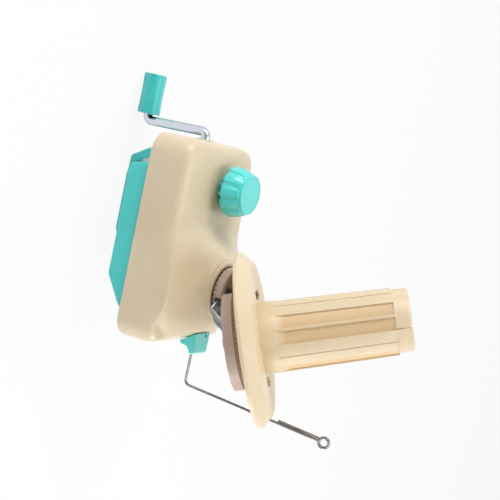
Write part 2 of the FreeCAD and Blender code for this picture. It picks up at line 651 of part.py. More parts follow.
def build_turntable():
    pitch = drive_pitch(PINION_TEETH, WHEEL_TEETH)
    heel = drive_heel()
    toe = heel - DRIVE_FACE
    heel_r, heel_z = bevel_root(PINION_TEETH, pitch, heel, heel + ROOT_MARGIN)
    toe_r, toe_z = bevel_root(PINION_TEETH, pitch, heel, toe - ROOT_MARGIN)
    bore = POST_RADIUS + RUN
    pinion_top = SHAFT_HEIGHT + heel_z
    floor_low = TABLE_FLOOR_TOP - TABLE_FLOOR
    foot = PEDESTAL_TOP + AIR
    body = revolved([(bore, foot), (toe_r - 0.2, foot), (toe_r, SHAFT_HEIGHT + toe_z), (heel_r, pinion_top),
                     (TABLE_HUB_RADIUS, pinion_top + 1.2), (TABLE_HUB_RADIUS, floor_low),
                     (TABLE_RADIUS - 1.0, floor_low), (TABLE_RADIUS, floor_low + 0.6),
                     (TABLE_RADIUS, TABLE_RIM_TOP - 0.5), (TABLE_RADIUS - 0.6, TABLE_RIM_TOP),
                     (TABLE_RADIUS - TABLE_WALL, TABLE_RIM_TOP), (TABLE_RADIUS - TABLE_WALL, TABLE_FLOOR_TOP),
                     (bore, TABLE_FLOOR_TOP)])
    teeth = bevel_teeth(PINION_TEETH, pitch, heel, toe, DRIVE_BACKLASH, 180.0)
    for tooth in teeth:
        tooth.translate(V(0, 0, SHAFT_HEIGHT))
    body = body.multiFuse(teeth)
    for i in range(TABLE_NOTCHES):
        a = 2 * math.pi * (i + 0.5) / TABLE_NOTCHES
        x = TABLE_RADIUS * math.cos(a)
        y = TABLE_RADIUS * math.sin(a)
        body = body.cut(upright(x, y, TABLE_NOTCH_RADIUS, floor_low - 1, floor_low + TABLE_NOTCH_HEIGHT))
    inner = TABLE_RADIUS - TABLE_WALL - 1.5
    outer = TABLE_RADIUS + 1
    gap = sector([(inner, TABLE_FLOOR_TOP), (outer, TABLE_FLOOR_TOP), (outer, TABLE_RIM_TOP + 1),
                  (inner, TABLE_RIM_TOP + 1)],
                 CARRIER_AZIMUTH - TABLE_GAP_HALF_ANGLE, 2 * TABLE_GAP_HALF_ANGLE)
    body = body.cut(gap)
    hole = upright(STRAP_SCREW_PLACE, 0, STRAP_SCREW_RADIUS + SEAT, floor_low - 1, TABLE_RIM_TOP)
    return body.cut(to_carrier(hole))


def build_post():
    post = upright(0, 0, POST_RADIUS, POST_FOOT + SEAT, SUN_TOP)
    post = post.makeChamfer(0.4, near(post.Edges, lambda c, e: c.z > SUN_TOP - 0.01))
    return post.cut(upright(0, 0, CAP_SCREW_RADIUS + SEAT, SUN_TOP - 7, SUN_TOP + 1))


def build_sun_screw():
    head = upright(0, 0, POST_RADIUS + 0.5, SUN_TOP + SEAT, SUN_TOP + 1.5)
    head = head.makeChamfer(0.4, near(head.Edges, lambda c, e: c.z > SUN_TOP + 1.4))
    shank = upright(0, 0, CAP_SCREW_RADIUS, SUN_TOP - 6.5, SUN_TOP + 0.5)
    slot = Part.makeBox(5.0, 0.6, 0.8, V(-2.5, -0.3, SUN_TOP + 1.0))
    return head.fuse(shank).cut(slot)


def sun_pitch():
    tilt = math.radians(TILT)
    ratio = SPOOL_TEETH / SUN_TEETH
    spool = math.degrees(math.atan2(math.sin(tilt), 1 / ratio + math.cos(tilt)))
    return TILT - spool


def build_sun_gear():
    pitch = sun_pitch()
    c = math.cos(math.radians(pitch))
    heel = (AXES_CROSSING - SUN_FOOT) / c
    toe = (AXES_CROSSING - SUN_TOP) / c
    teeth = bevel_teeth(SUN_TEETH, pitch, heel, toe, SPOOL_BACKLASH, 0.0)
    heel_r, heel_z = bevel_root(SUN_TEETH, pitch, heel, heel + ROOT_MARGIN)
    toe_r, toe_z = bevel_root(SUN_TEETH, pitch, heel, toe - ROOT_MARGIN)
    foot = AXES_CROSSING - SUN_HUB_FOOT
    bore = POST_RADIUS + SEAT
    blank = revolved([(bore, toe_z), (toe_r, toe_z), (heel_r, heel_z), (SUN_HUB_RADIUS, heel_z),
                      (SUN_HUB_RADIUS, foot), (bore, foot)])
    gear = blank.multiFuse(teeth)
    gear = gear.common(ring(30.0, bore, AXES_CROSSING - SUN_TOP, foot + 1))
    gear.rotate(V(0, 0, 0), Y_AXIS, 180)
    gear.translate(V(0, 0, AXES_CROSSING))
    return to_carrier(gear)


def strap_line():
    """Corner points of the strap's top face in the plane of both axes."""
    tilt = math.radians(TILT)
    lift = math.radians(STRAP_RISE_ANGLE)
    seat = V(STRAP_SEAT * math.sin(tilt), 0, AXES_CROSSING - STRAP_SEAT * math.cos(tilt))
    along = V(math.cos(tilt), 0, math.sin(tilt))
    corner = V(STRAP_CORNER, 0, TABLE_FLOOR_TOP + SEAT + STRAP_THICKNESS)
    up = V(math.cos(lift), 0, math.sin(lift))
    gap = seat - corner
    s = (gap.x * up.z - gap.z * up.x) / (along.z * up.x - along.x * up.z)
    bend = seat + along * s
    tail = seat + along * STRAP_TAIL
    return [V(STRAP_NOSE, 0, corner.z), corner, bend, tail]


def strip(points, thickness, half_width):
    """Bent strip below a line of points in the XZ plane."""
    lower = []
    for i, point in enumerate(points):
        before = (points[i] - points[i - 1]).normalize() if i > 0 else None
        after = (points[i + 1] - points[i]).normalize() if i < len(points) - 1 else None
        first = before or after
        second = after or before
        bisector = V(first.z + second.z, 0, -first.x - second.x).normalize()
        lean = bisector.dot(V(first.z, 0, -first.x))
        lower.append(point + bisector * (thickness / lean))
    outline = [V(p.x, -half_width, p.z) for p in points + lower[::-1]]
    face = Part.Face(Part.makePolygon(outline + [outline[0]]))
    return face.extrude(V(0, 2 * half_width, 0)), lower


def build_strap():
    line = strap_line()
    body, lower = strip(line, STRAP_THICKNESS, STRAP_WIDTH / 2)
    for inner, outer in ((line[1], lower[1]), (lower[2], line[2])):
        for corner, radius in ((inner, STRAP_BEND), (outer, STRAP_BEND + STRAP_THICKNESS)):
            place = V(corner.x, 0, corner.z)
            edge = near(body.Edges, lambda c, e: (c - place).Length < 0.05)
            body = body.makeFillet(radius, edge)
    hole = upright(STRAP_SCREW_PLACE, 0, STRAP_SCREW_RADIUS + SEAT, TABLE_FLOOR_TOP - 1, TABLE_RIM_TOP)
    body = body.cut(hole)
    tail = line[3]
    short = STRAP_THICKNESS * 1.05
    tail_edges = near(body.Edges, lambda c, e: e.Length < short and c.x > tail.x - 0.1
                      and (c - tail).Length < STRAP_WIDTH)
    body = body.makeFillet(STRAP_WIDTH / 2 - 0.8, tail_edges)
    body = body.cut(spindle_cylinder(AXLE_RADIUS + SEAT, -STRAP_SEAT - 5, -STRAP_SEAT + 2))
    return to_carrier(body)


def spindle_cylinder(radius, low, high):
    """Cylinder on the spindle axis in the plane of both axes, before the turn to the rest side."""
    rod = Part.makeCylinder(radius, high - low, V(0, 0, low))
    rod.rotate(V(0, 0, 0), Y_AXIS, SPOOL_TILT_TURN)
    rod.translate(V(0, 0, AXES_CROSSING))
    return rod


def build_strap_screw():
    top = TABLE_FLOOR_TOP + SEAT + STRAP_THICKNESS
    low = TABLE_FLOOR_TOP - TABLE_FLOOR - 1.0
    shank = upright(STRAP_SCREW_PLACE, 0, STRAP_SCREW_RADIUS, low, top + 1)
    head = upright(STRAP_SCREW_PLACE, 0, STRAP_SCREW_RADIUS + 1.3, top + SEAT, top + 2.2)
    head = head.makeChamfer(0.5, near(head.Edges, lambda c, e: c.z > top + 2.1))
    slot = Part.makeBox(6.0, 0.7, 1.0, V(STRAP_SCREW_PLACE - 3, -0.35, top + 1.5))
    return to_carrier(head.fuse(shank).cut(slot))


def build_axle():
    seat = -STRAP_SEAT
    under = seat - STRAP_THICKNESS
    head = revolved([(0, under - 1.9), (AXLE_RADIUS + 0.4, under - 1.9), (AXLE_RADIUS + 1.4, under - 1.2),
                     (AXLE_RADIUS + 1.4, under - SEAT), (0, under - SEAT)])
    shank = revolved([(0, under - 1), (AXLE_RADIUS, under - 1), (AXLE_RADIUS, AXLE_END - 0.5),
                      (AXLE_RADIUS - 0.5, AXLE_END), (0, AXLE_END)])
    spacer = ring(AXLE_RADIUS + 1.8, AXLE_RADIUS - 0.5, seat + SEAT, -HUB_FOOT - AIR)
    return to_spindle(head.fuse(shank).fuse(spacer))


def build_axle_clip():
    low = -HUB_TOP + AIR
    clip = ring(AXLE_RADIUS + 1.9, AXLE_RADIUS + SEAT, low, low + 1.2)
    return to_spindle(clip.cut(Part.makeBox(6.0, 1.6, 2.0, V(1.0, -0.8, low - 0.4))))


def build_spool_gear():
    pitch = TILT - sun_pitch()
    c = math.cos(math.radians(pitch))
    heel = SPOOL_GEAR_HEEL / c
    toe = heel - SPOOL_GEAR_FACE
    teeth = bevel_teeth(SPOOL_TEETH, pitch, heel, toe, SPOOL_BACKLASH, 180.0 / SPOOL_TEETH)
    heel_r, heel_z = bevel_root(SPOOL_TEETH, pitch, heel, heel + ROOT_MARGIN)
    toe_r, toe_z = bevel_root(SPOOL_TEETH, pitch, heel, toe - ROOT_MARGIN)
    bore = AXLE_RADIUS + RUN
    blank = revolved([(bore, HUB_TOP), (SLEEVE_RADIUS, HUB_TOP), (SLEEVE_RADIUS, FLANGE_SEAT),
                      (SPOOL_HUB_RADIUS, FLANGE_SEAT), (SPOOL_HUB_RADIUS, toe_z),
                      (toe_r, toe_z), (heel_r, heel_z), (SKIRT_RADIUS, heel_z + 0.5),
                      (SKIRT_RADIUS, SKIRT_FOOT), (SKIRT_RADIUS - 2.1, SKIRT_FOOT),
                      (SKIRT_RADIUS - 2.6, toe_z + SPOOL_WEB), (SPOOL_HUB_RADIUS, toe_z + SPOOL_WEB),
                      (SPOOL_HUB_RADIUS, HUB_FOOT), (bore, HUB_FOOT)])
    gear = blank.multiFuse(teeth)
    for x, y in gear_screw_places():
        gear = gear.fuse(upright(x, y, GEAR_SCREW_RADIUS + 1.8, FLANGE_SEAT, toe_z + 1))
        gear = gear.cut(upright(x, y, GEAR_SCREW_RADIUS + SEAT, FLANGE_SEAT - 1, toe_z + SPOOL_WEB + 1))
    gear.rotate(V(0, 0, 0), Y_AXIS, 180)
    return to_spindle(gear)


def gear_screw_places():
    places = []
    for i in range(GEAR_SCREWS):
        a = 2 * math.pi * i / GEAR_SCREWS
        places.append((GEAR_SCREW_CIRCLE * math.cos(a), GEAR_SCREW_CIRCLE * math.sin(a)))
    return places


def build_gear_screws():
    pitch = math.radians(TILT - sun_pitch())
    toe = SPOOL_GEAR_HEEL / math.cos(pitch) - SPOOL_GEAR_FACE
    heel = SPOOL_GEAR_HEEL / math.cos(pitch)
    toe_z = bevel_root(SPOOL_TEETH, math.degrees(pitch), heel, toe - ROOT_MARGIN)[1]
    under = toe_z + SPOOL_WEB
    screws = []
    for x, y in gear_screw_places():
        shank = upright(x, y, GEAR_SCREW_RADIUS, RIM_PLANE - PLATEAU_RISE - 2.5, under + 0.5)
        head = upright(x, y, GEAR_SCREW_RADIUS + 1.0, under + SEAT, under + 1.3)
        slot = Part.makeBox(4.4, 0.6, 1.0, V(x - 2.2, y - 0.3, under + 0.8))
        screws.append(head.fuse(shank).cut(slot))
    group = Part.makeCompound(screws)
    group.rotate(V(0, 0, 0), Y_AXIS, 180)
    return to_spindle(group)


def build_flange():
    top = PLATEAU_RISE - RIM_PLANE
    skirt = RIM_RADIUS - PLATEAU_RADIUS
    w = FLANGE_WALL
    disc = revolved([(SLEEVE_RADIUS + SEAT, top - w), (PLATEAU_RADIUS - 0.7, top - w),
                     (RIM_RADIUS - w, top - skirt - w * 0.5), (RIM_RADIUS - w, -RIM_PLANE),
                     (RIM_RADIUS, -RIM_PLANE), (RIM_RADIUS, top - skirt), (PLATEAU_RADIUS, top),
                     (SLEEVE_RADIUS + SEAT, top)])
    inner, outer = WINDOW_RING
    for side in (WINDOW_TURN, WINDOW_TURN + 180.0):
        window = sector([(inner, top - w - 1), (outer, top - w - 1), (outer, top + 1), (inner, top + 1)],
                        side - WINDOW_HALF_ANGLE, 2 * WINDOW_HALF_ANGLE)
        disc = disc.cut(window)
    for x, y in gear_screw_places():
        disc = disc.cut(upright(-x, y, GEAR_SCREW_RADIUS + SEAT, top - w - 1, top + 1))
    return to_spindle(disc)


def cone_radius(height):
    """Outer radius of the cone at one height above its foot."""
    return CONE_FOOT_RADIUS + (CONE_TOP_RADIUS - CONE_FOOT_RADIUS) * height / CONE_LENGTH


def build_cone():
    foot = PLATEAU_RISE - RIM_PLANE + SEAT
    plate = 2.0
    w = CONE_WALL
    hub = SLEEVE_RADIUS + SEAT
    end = cone_radius(CONE_LENGTH)
    body = revolved([(hub, 0), (cone_radius(0), 0), (end, CONE_LENGTH - 0.6), (end - 0.6, CONE_LENGTH),
                     (end - w, CONE_LENGTH), (cone_radius(plate) - w, plate), (hub, plate)])
    low = CONE_FOOT_BAND
    high = CONE_LENGTH - CONE_TOP_BAND
    half_rib = CONE_RIB_WIDTH / 2
    quarter = 360.0 / CONE_PANELS
    d = CONE_PANEL_DEPTH
    recess_outline = [(cone_radius(low) - d, low), (cone_radius(low) + 2, low), (cone_radius(high) + 2, high),
                      (cone_radius(high) - d, high)]
    g = CONE_GROOVE_DEPTH
    groove_outline = [(cone_radius(low) - g, low), (cone_radius(low) + 2, low), (cone_radius(high) + 2, high),
                      (cone_radius(high) - g, high)]
    rib_angle = math.degrees(half_rib / CONE_FOOT_RADIUS)
    groove_angle = math.degrees(CONE_GROOVE_WIDTH / CONE_FOOT_RADIUS)
    for i in range(CONE_PANELS):
        middle = FACING + PANEL_TURN + quarter * i
        half = CONE_PANEL_ANGLE / 2
        body = body.cut(sector(recess_outline, middle - half, half - rib_angle))
        body = body.cut(sector(recess_outline, middle + rib_angle, half - rib_angle))
        body = body.cut(sector(groove_outline, middle + quarter / 2 - groove_angle / 2, groove_angle))
        slit = Part.makeBox(6.0, CONE_SLIT, CONE_TOP_BAND - 0.4,
                            V(CONE_TOP_RADIUS - 4.0, -CONE_SLIT / 2, high + 1.0))
        slit.rotate(V(0, 0, 0), Z_AXIS, middle + half - 1.0)
        body = body.cut(slit)
    for x, y in gear_screw_places():
        body = body.cut(upright(-x, y, GEAR_SCREW_RADIUS + SEAT, -1, plate + 1))
    body.translate(V(0, 0, foot))
    return to_spindle(body)


def build_knob():
    w = 2.0
    height = KNOB_TOP - KNOB_FOOT
    r0 = KNOB_FOOT_RADIUS
    r1 = KNOB_TOP_RADIUS
    shoulder = KNOB_TOP - KNOB_CAP
    body = revolved([(0, KNOB_TOP - w), (r1 - w - 0.4, KNOB_TOP - w), (r0 - w, KNOB_FOOT), (r0, KNOB_FOOT),
                     (r0, KNOB_FOOT + 0.8), (r1 + 1.0, shoulder), (0, shoulder)])
    cutter_radius = 2.0
    shift = cutter_radius - KNOB_FLUTE_DEPTH
    for i in range(KNOB_FLUTES):
        low = V(r0 + shift, 0, KNOB_FOOT)
        high = V(r1 + 1.0 + shift, 0, shoulder)
        way = high - low
        cutter = Part.makeCylinder(cutter_radius, way.Length * 1.3, low - way * 0.1, way)
        cutter.rotate(V(0, 0, 0), Z_AXIS, 360.0 * i / KNOB_FLUTES)
        body = body.cut(cutter)
    cap = revolved([(0, shoulder - 0.5), (r1 - 0.2, shoulder - 0.5), (r1, shoulder + 0.2),
                    (r1 - 0.2, KNOB_TOP - 1.2), (r1 - 0.9, KNOB_TOP - 0.4), (r1 - 2.2, KNOB_TOP),
                    (0, KNOB_TOP)])
    body = body.fuse(cap).fuse(upright(0, 0, KNOB_HUB_RADIUS, KNOB_HUB_FOOT, KNOB_TOP - 1))
    inside = revolved([(0, KNOB_TOP - 1), (r1 - 1.4, KNOB_TOP - 1), (r0 - 1.4, KNOB_FOOT), (0, KNOB_FOOT)])
    for i in range(KNOB_RIBS):
        rib = Part.makeBox(r0 - 4.6, 1.2, height * 0.55, V(3.0, -0.6, KNOB_TOP - w / 2 - height * 0.55))
        rib.rotate(V(0, 0, 0), Z_AXIS, 45 + 360.0 * i / KNOB_RIBS)
        body = body.fuse(rib.common(inside))
    body = body.cut(upright(0, 0, SCREW_RADIUS + SEAT, KNOB_HUB_FOOT - 1, KNOB_SCREW_TOP + SEAT))
    body.translate(V(SCREW_X, SCREW_Y, 0))
    return body


def build_screw():
    r = SCREW_RADIUS
    top = KNOB_SCREW_TOP
    return revolved_at(SCREW_X, SCREW_Y, [(0, SCREW_END), (r - 0.6, SCREW_END), (r, SCREW_END + 0.6),
                                          (r, top - 0.4), (r - 0.4, top), (0, top)])


def revolved_at(x, y, points):
    body = revolved(points)
    body.translate(V(x, y, 0))
    return body


def build_screw_clip():
    top = FLAT_TOP - CEILING - AIR
    clip = ring(SCREW_RADIUS + 1.9, SCREW_RADIUS + SEAT, top - 1.2, top)
    clip = clip.cut(Part.makeBox(6.0, 1.6, 3.0, V(1.0, -0.8, top - 2)))
    clip.translate(V(SCREW_X, SCREW_Y, 0))
    return clip


def build_washer():
    washer = ring(WASHER_RADIUS, SCREW_RADIUS + 0.2, FLAT_TOP + SEAT, FLAT_TOP + SEAT + 1.2)
    washer.translate(V(SCREW_X, SCREW_Y, 0))
    return washer


def prong_front():
    return ROD_RADIUS + PRONG_GAP


def prong_width():
    return SCREW_Y + ARM_HALF_WIDTH - prong_front()


def build_clamp_arm():
    lean = math.radians(HEEL_LEAN)
    half = ARM_THICKNESS / 2
    jaw_top = -CLAMP_GAP
    jaw_low = jaw_top - JAW_THICKNESS
    outer_x = PRONG_X - half
    inner_x = PRONG_X + half
    outer_bend = HEEL_BEND - half * math.tan(lean / 2)
    inner_bend = HEEL_BEND + half * math.tan(lean / 2)
    outer_foot = outer_x + (outer_bend - jaw_low) * math.tan(lean)
    inner_foot = inner_x + (inner_bend - jaw_top) * math.tan(lean)
    end = SCREW_X + JAW_LENGTH
    outline = [(outer_x, HEEL_TOP), (outer_x, outer_bend), (outer_foot, jaw_low), (end, jaw_low),
               (end, jaw_top), (inner_foot, jaw_top), (inner_x, inner_bend), (inner_x, HEEL_TOP)]
    profile = profile_prism(outline, ARM_HALF_WIDTH)
    foot_edge = near(profile.Edges, lambda c, e: abs(c.x - outer_foot) < 0.01 and abs(c.z - jaw_low) < 0.01)
    profile = profile.makeFillet(2.4, foot_edge)
    nose_edges = near(profile.Edges, lambda c, e: abs(c.x - end) < 0.01 and abs(c.y) > ARM_HALF_WIDTH - 0.01)
    profile = profile.makeFillet(ARM_HALF_WIDTH - 0.2, nose_edges)
    profile.translate(V(0, SCREW_Y, 0))
    prong = Part.makeBox(ARM_THICKNESS, prong_width(), PRONG_TOP - HEEL_TOP + 1.0,
                         V(outer_x, prong_front(), HEEL_TOP - 1.0))
    prong = prong.makeFillet(1.2, near(prong.Edges, lambda c, e: c.z > PRONG_TOP - 0.01))
    body = profile.fuse(prong)
    body = body.cut(upright(SCREW_X, SCREW_Y, SCREW_RADIUS + 0.3, jaw_low - 1, jaw_top + 1))
    body = body.cut(hexagon(NUT_RADIUS + SEAT, jaw_low - 1, jaw_low + NUT_HEIGHT))
    for i in range(JAW_GROOVES):
        x = SCREW_X + 12.0 + 4.0 * i
        start = V(x, SCREW_Y - ARM_HALF_WIDTH - 1, jaw_top - 0.6)
        groove = Part.makeBox(1.2, 2 * ARM_HALF_WIDTH + 2, 0.7, start)
        body = body.cut(groove)
    return body


def hexagon(radius, low, high):
    corners = []
    for i in range(7):
        a = math.radians(60 * i)
        corners.append(V(SCREW_X + radius * math.cos(a), SCREW_Y + radius * math.sin(a), low))
    return Part.Face(Part.makePolygon(corners)).extrude(V(0, 0, high - low))


def build_nut():
    low = -CLAMP_GAP - JAW_THICKNESS
    nut = hexagon(NUT_RADIUS, low + 0.2, low + NUT_HEIGHT - SEAT)
    return nut.cut(upright(SCREW_X, SCREW_Y, SCREW_RADIUS + RUN, low - 1, low + 8))


def build_holder():
    outline = [(28.2, HOLDER_TOP), (40.8, HOLDER_TOP), (42.0, HOLDER_TOP - 1.2), (42.0, 44.3), (40.6, 43.4),
               (34.6, 41.2), (33.9, 43.0), (32.7, 45.4), (31.3, 47.0), (29.9, 49.4)]
    body = profile_prism(outline, HOLDER_HALF_WIDTH)
    tongue = Part.makeBox(33.5 - TONGUE_START, 2 * TONGUE_HALF_WIDTH, TONGUE_HEIGHT,
                          V(TONGUE_START, -TONGUE_HALF_WIDTH, TONGUE_FOOT))
    body = body.fuse(tongue)
    body = body.cut(lying(WIRE_START - 0.3, WIRE_RADIUS + RUN, 20, GUIDE_HEIGHT))
    body = body.cut(upright(30.6, 4.4, 1.0, HOLDER_TOP - 3.0, HOLDER_TOP + 1))
    return body.cut(lying(TONGUE_START - 1, HOLDER_SCREW_RADIUS + SEAT, 5.5, GUIDE_HEIGHT))


def build_holder_screw():
    shank = lying(TONGUE_START - 0.5, HOLDER_SCREW_RADIUS, 4.5, GUIDE_HEIGHT)
    head = lying(TONGUE_START - SEAT - 1.6, HOLDER_SCREW_RADIUS + 1.5, 1.6, GUIDE_HEIGHT)
    slot = Part.makeBox(0.9, 7.0, 0.7, V(TONGUE_START - 1.9, -3.5, GUIDE_HEIGHT - 0.35))
    return head.fuse(shank).cut(slot)


def build_wire():
    bend = V(GUIDE_BEND_X, 0, GUIDE_HEIGHT)
    eye = bend + V(GUIDE_OUT, GUIDE_BACK, GUIDE_RISE)
    way = (eye - bend).normalize()
    stop = eye - way * (EYE_RADIUS + WIRE_RADIUS)
    rod = rod_along([V(WIRE_START, 0, GUIDE_HEIGHT), bend, stop], WIRE_RADIUS, GUIDE_BEND_RADIUS)
    side = way.cross(X_AXIS).normalize()
    loop = Part.makeTorus(EYE_RADIUS, WIRE_RADIUS, eye, side)
    strand_foot = eye - way * EYE_STRAND + way.cross(side) * (2 * WIRE_RADIUS - 0.15)
    strand_top = stop + way.cross(side) * (2 * WIRE_RADIUS - 0.15) + way * 1.2
    run = strand_top - strand_foot
    strand = Part.makeCylinder(WIRE_RADIUS, run.Length, strand_foot, run)
    return rod.fuse(loop).fuse(strand)


os.makedirs("parts", exist_ok=True)

save(build_housing(), "upper_housing")
save(build_cover(), "bottom_cover")
save(build_cover_screws(), "cover_screws")
save(build_crank_bush(), "crank_bush")
save(build_crank_rod(), "crank_rod")
save(build_shaft_clip(), "shaft_clip")
save(build_grip(), "handle_grip")
save(build_grip_ring(), "grip_ring")
save(build_drive_wheel(), "drive_wheel")
save(build_wheel_pin(), "drive_wheel_pin")
save(build_turntable(), "turntable")
save(build_post(), "center_post")
save(build_sun_gear(), "sun_gear")
save(build_sun_screw(), "sun_gear_screw")
save(build_strap(), "spindle_strap")
save(build_strap_screw(), "strap_screw")
save(build_axle(), "spindle_axle")
save(build_axle_clip(), "axle_clip")
save(build_spool_gear(), "spool_gear")
save(build_gear_screws(), "gear_screws")
save(build_flange(), "spool_flange")
save(build_cone(), "spool_cone")
save(build_knob(), "clamp_knob")
save(build_screw(), "clamp_screw")
save(build_screw_clip(), "screw_clip")
save(build_washer(), "clamp_washer")
save(build_clamp_arm(), "clamp_arm")
save(build_nut(), "clamp_nut")
save(build_holder(), "guide_holder")
save(build_holder_screw(), "holder_screw")
save(build_wire(), "guide_wire")
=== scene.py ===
import json
import math

import bmesh
import bpy
from mathutils import Matrix, Vector


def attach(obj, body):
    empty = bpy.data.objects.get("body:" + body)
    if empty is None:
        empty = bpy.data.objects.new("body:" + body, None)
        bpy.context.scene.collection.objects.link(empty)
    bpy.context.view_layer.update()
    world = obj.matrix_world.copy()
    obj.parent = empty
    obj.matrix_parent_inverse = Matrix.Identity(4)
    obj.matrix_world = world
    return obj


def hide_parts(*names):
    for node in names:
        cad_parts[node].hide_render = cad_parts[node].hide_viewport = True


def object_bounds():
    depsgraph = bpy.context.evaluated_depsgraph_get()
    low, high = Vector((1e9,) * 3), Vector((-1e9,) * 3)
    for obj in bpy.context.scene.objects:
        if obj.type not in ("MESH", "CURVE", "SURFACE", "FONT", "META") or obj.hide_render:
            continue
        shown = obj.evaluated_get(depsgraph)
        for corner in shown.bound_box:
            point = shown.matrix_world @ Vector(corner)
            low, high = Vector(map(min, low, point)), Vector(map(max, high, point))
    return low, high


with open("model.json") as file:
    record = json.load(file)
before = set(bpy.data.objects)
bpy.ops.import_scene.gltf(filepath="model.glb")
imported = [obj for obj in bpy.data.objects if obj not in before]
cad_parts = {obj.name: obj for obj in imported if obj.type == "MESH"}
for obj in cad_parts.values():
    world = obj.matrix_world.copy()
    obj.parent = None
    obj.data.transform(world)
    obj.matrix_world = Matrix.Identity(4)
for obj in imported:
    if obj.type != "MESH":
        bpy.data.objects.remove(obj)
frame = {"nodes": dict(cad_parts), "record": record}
cad_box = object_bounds()
nodes = frame["nodes"]

# Measures are in millimetres and degrees, and MM turns them into metres
MM = 0.001
SMOOTH_ANGLE = 32.0
JOIN_GAP = 0.000002

# Housing, cover, holder and clamp bar: grain of the remade skin, and rounds of smoothing
HOUSING_GRAIN = 0.8
COVER_GRAIN = 0.7
HOLDER_GRAIN = 0.4
CLAMP_GRAIN = 0.5
SKIN_SOFT = 10
HUMP_SOFT = 8
UPPER_SOFT = 6
EDGE_SOFT = 200
HOLDER_SOFT = 5
CLAMP_SOFT = 6
HEEL_SOFT = 60

# Where the smoothing sets in and where it is full: heights, radii, and distances along X or from the
# middle plane
LEAST_SOFT = 0.06
COLLAR_LEVEL = 50.0
COLLAR_EDGE = (17.5, 21.0)
WALL_FOOT = (15.0, 19.0)
HUMP_RADIUS = (20.0, 27.0)
HUMP_HEIGHT = (27.0, 34.0)
HUMP_LENGTH = (-95.0, -70.0)
SIDE_EDGE = (20.0, 32.0)
CRANK_END_EDGE = (62.0, 76.0)
TOP_EDGE = (22.0, 32.0)
HOLDER_LENGTH = (16.0, 24.0)
HOLDER_SIDE = (16.0, 22.0)
BOX_LENGTH = (12.0, 34.0)
COVER_FOOT = (10.0, 14.0)
HEEL_DEPTH = (16.0, 22.0)
HEEL_LENGTH = (56.0, 62.0)

# Lip round the turntable: radius and height of each corner
COLLAR_SIDES = 144
COLLAR_LIP = ((15.4, 50.0), (15.4, 60.0), (15.6, 60.2), (17.1, 60.2), (17.8, 59.85),
              (18.6, 59.15), (19.4, 58.45), (19.8, 57.9), (19.8, 50.0), (15.4, 50.0))

# Leaning spindle: where its axis crosses the winding axis, its tilt, the side of its foot, and the spool on it
AXES_CROSSING = 144.7
TILT = 29.7
CARRIER_AZIMUTH = -46.0
FACING = -47.9
PANEL_TURN = -9.5
RIM_PLANE = 59.6
RIM_RADIUS = 51.1
PLATEAU_RADIUS = 44.4
PLATEAU_RISE = 8.8
FLANGE_WALL = 1.6
SLEEVE_BORE = 4.43
SPOOL_SIDES = 180
CONE_GAP = 0.03
CONE_FOOT = CONE_GAP + PLATEAU_RISE - RIM_PLANE
CONE_LENGTH = 85.0
CONE_FOOT_RADIUS = 20.9
CONE_TOP_RADIUS = 19.4
CONE_WALL = 2.8
CONE_FLOOR = 2.0
CONE_BAND = 9.0
CONE_ROUNDING = 0.28
PANEL_DEPTH = 1.0
PANEL_RUN_OUT = 6.0
# Distance below the end band where the painted shade in the panels eases off
PANEL_FADE = 6.0
PANEL_HALF_ANGLE = 24.0
RIB_HALF_ANGLE = 2.0
GROOVE_HALF_ANGLE = 1.0
GROOVE_DEPTH = 0.32
# Strength of the painted shade in the grooves, 0 to 1
GROOVE_PAINTED_SHADE = 0.3
CONE_SLIT = 1.0
BAND_STEP = 1.35
WINDOW_RING = (22.5, 28.0)
WINDOW_HALF_ANGLE = 24.0
FLANGE_ROUNDING = 0.5

# Table clamp
SCREW_PLACE = (-60.0, 5.8)
KNOB_FOOT = 48.0
KNOB_TOP = 61.1
KNOB_FOOT_RADIUS = 15.7
KNOB_TOP_RADIUS = 12.2
KNOB_HUB_FOOT = 43.55
KNOB_HUB_RADIUS = 4.5
KNOB_BORE = 2.43
KNOB_BORE_TOP = 57.5
KNOB_RING_RADIUS = 9.6
KNOB_LOBES = 11
KNOB_SIDES = 220
KNOB_TURN = -6.4
KNOB_FLUTE = (0.9, 0.86, 0.76, 0.6, 0.36)
KNOB_RIM_SHARE = 0.45
KNOB_SLOT_STEP = 36.0
KNOB_SLOT_HALF = 12.5
KNOB_SLOT_DEPTH = 1.6
KNOB_SLOT_TURN = 22.0
KNOB_ROUNDING = 0.12

# Turntable, spool gear and strap
TABLE_RADIUS = 14.7
TABLE_GROWTH = 0.45
SKIRT_FOOT = 71.4
SKIRT_RADIUS = 28.1
SKIRT_LIFT = 1.0
STRAP_WIDTH = 8.0
STRAP_BROADER = 1.8
STRAP_ROUNDING = 0.3

# Crank
SHAFT_HEIGHT = 25.0
ROD_RADIUS = 2.8
CRANK_ARM = 44.5
CRANK_ARM_X = -92.2
GRIP_START = 3.9
GRIP_LENGTH = 25.0
GRIP_RADIUS = 7.2
GRIP_FLUTES = 8
GRIP_SIDES = 96
GRIP_TURN = 22.5
GRIP_FLUTE = (0.5, 0.44, 0.28, 0.1)
GRIP_MOUTH = 5.0
GRIP_PLAY = 0.05

# Guide holder: corner of its notch, and direction, length and depth of each cut that meets there
HOLDER_NOTCH = (37.3, 46.6)
HOLDER_CUTS = ((36.0, 12.0, 9.0), (-4.0, 9.0, 12.0))
HOLDER_CUT_WIDTH = 30.0

# Yarn guide
GUIDE_HEIGHT = 46.2
WIRE_RADIUS = 0.8
WIRE_START = 31.0
GUIDE_BEND_X = 62.1
GUIDE_RISE = 87.4
GUIDE_BACK = 27.0
GUIDE_OUT = 14.6
EYE_RADIUS = 3.1
EYE_SIDES = (48, 16)
EYE_STRAND = 30.0
GUIDE_BEND_RADIUS = 3.0
DEGREES_A_STEP = 7.0


def clear_selection():
    if bpy.context.mode != "OBJECT":
        bpy.ops.object.mode_set(mode="OBJECT")
    bpy.ops.object.select_all(action="DESELECT")


def take(piece):
    clear_selection()
    piece.select_set(True)
    bpy.context.view_layer.objects.active = piece


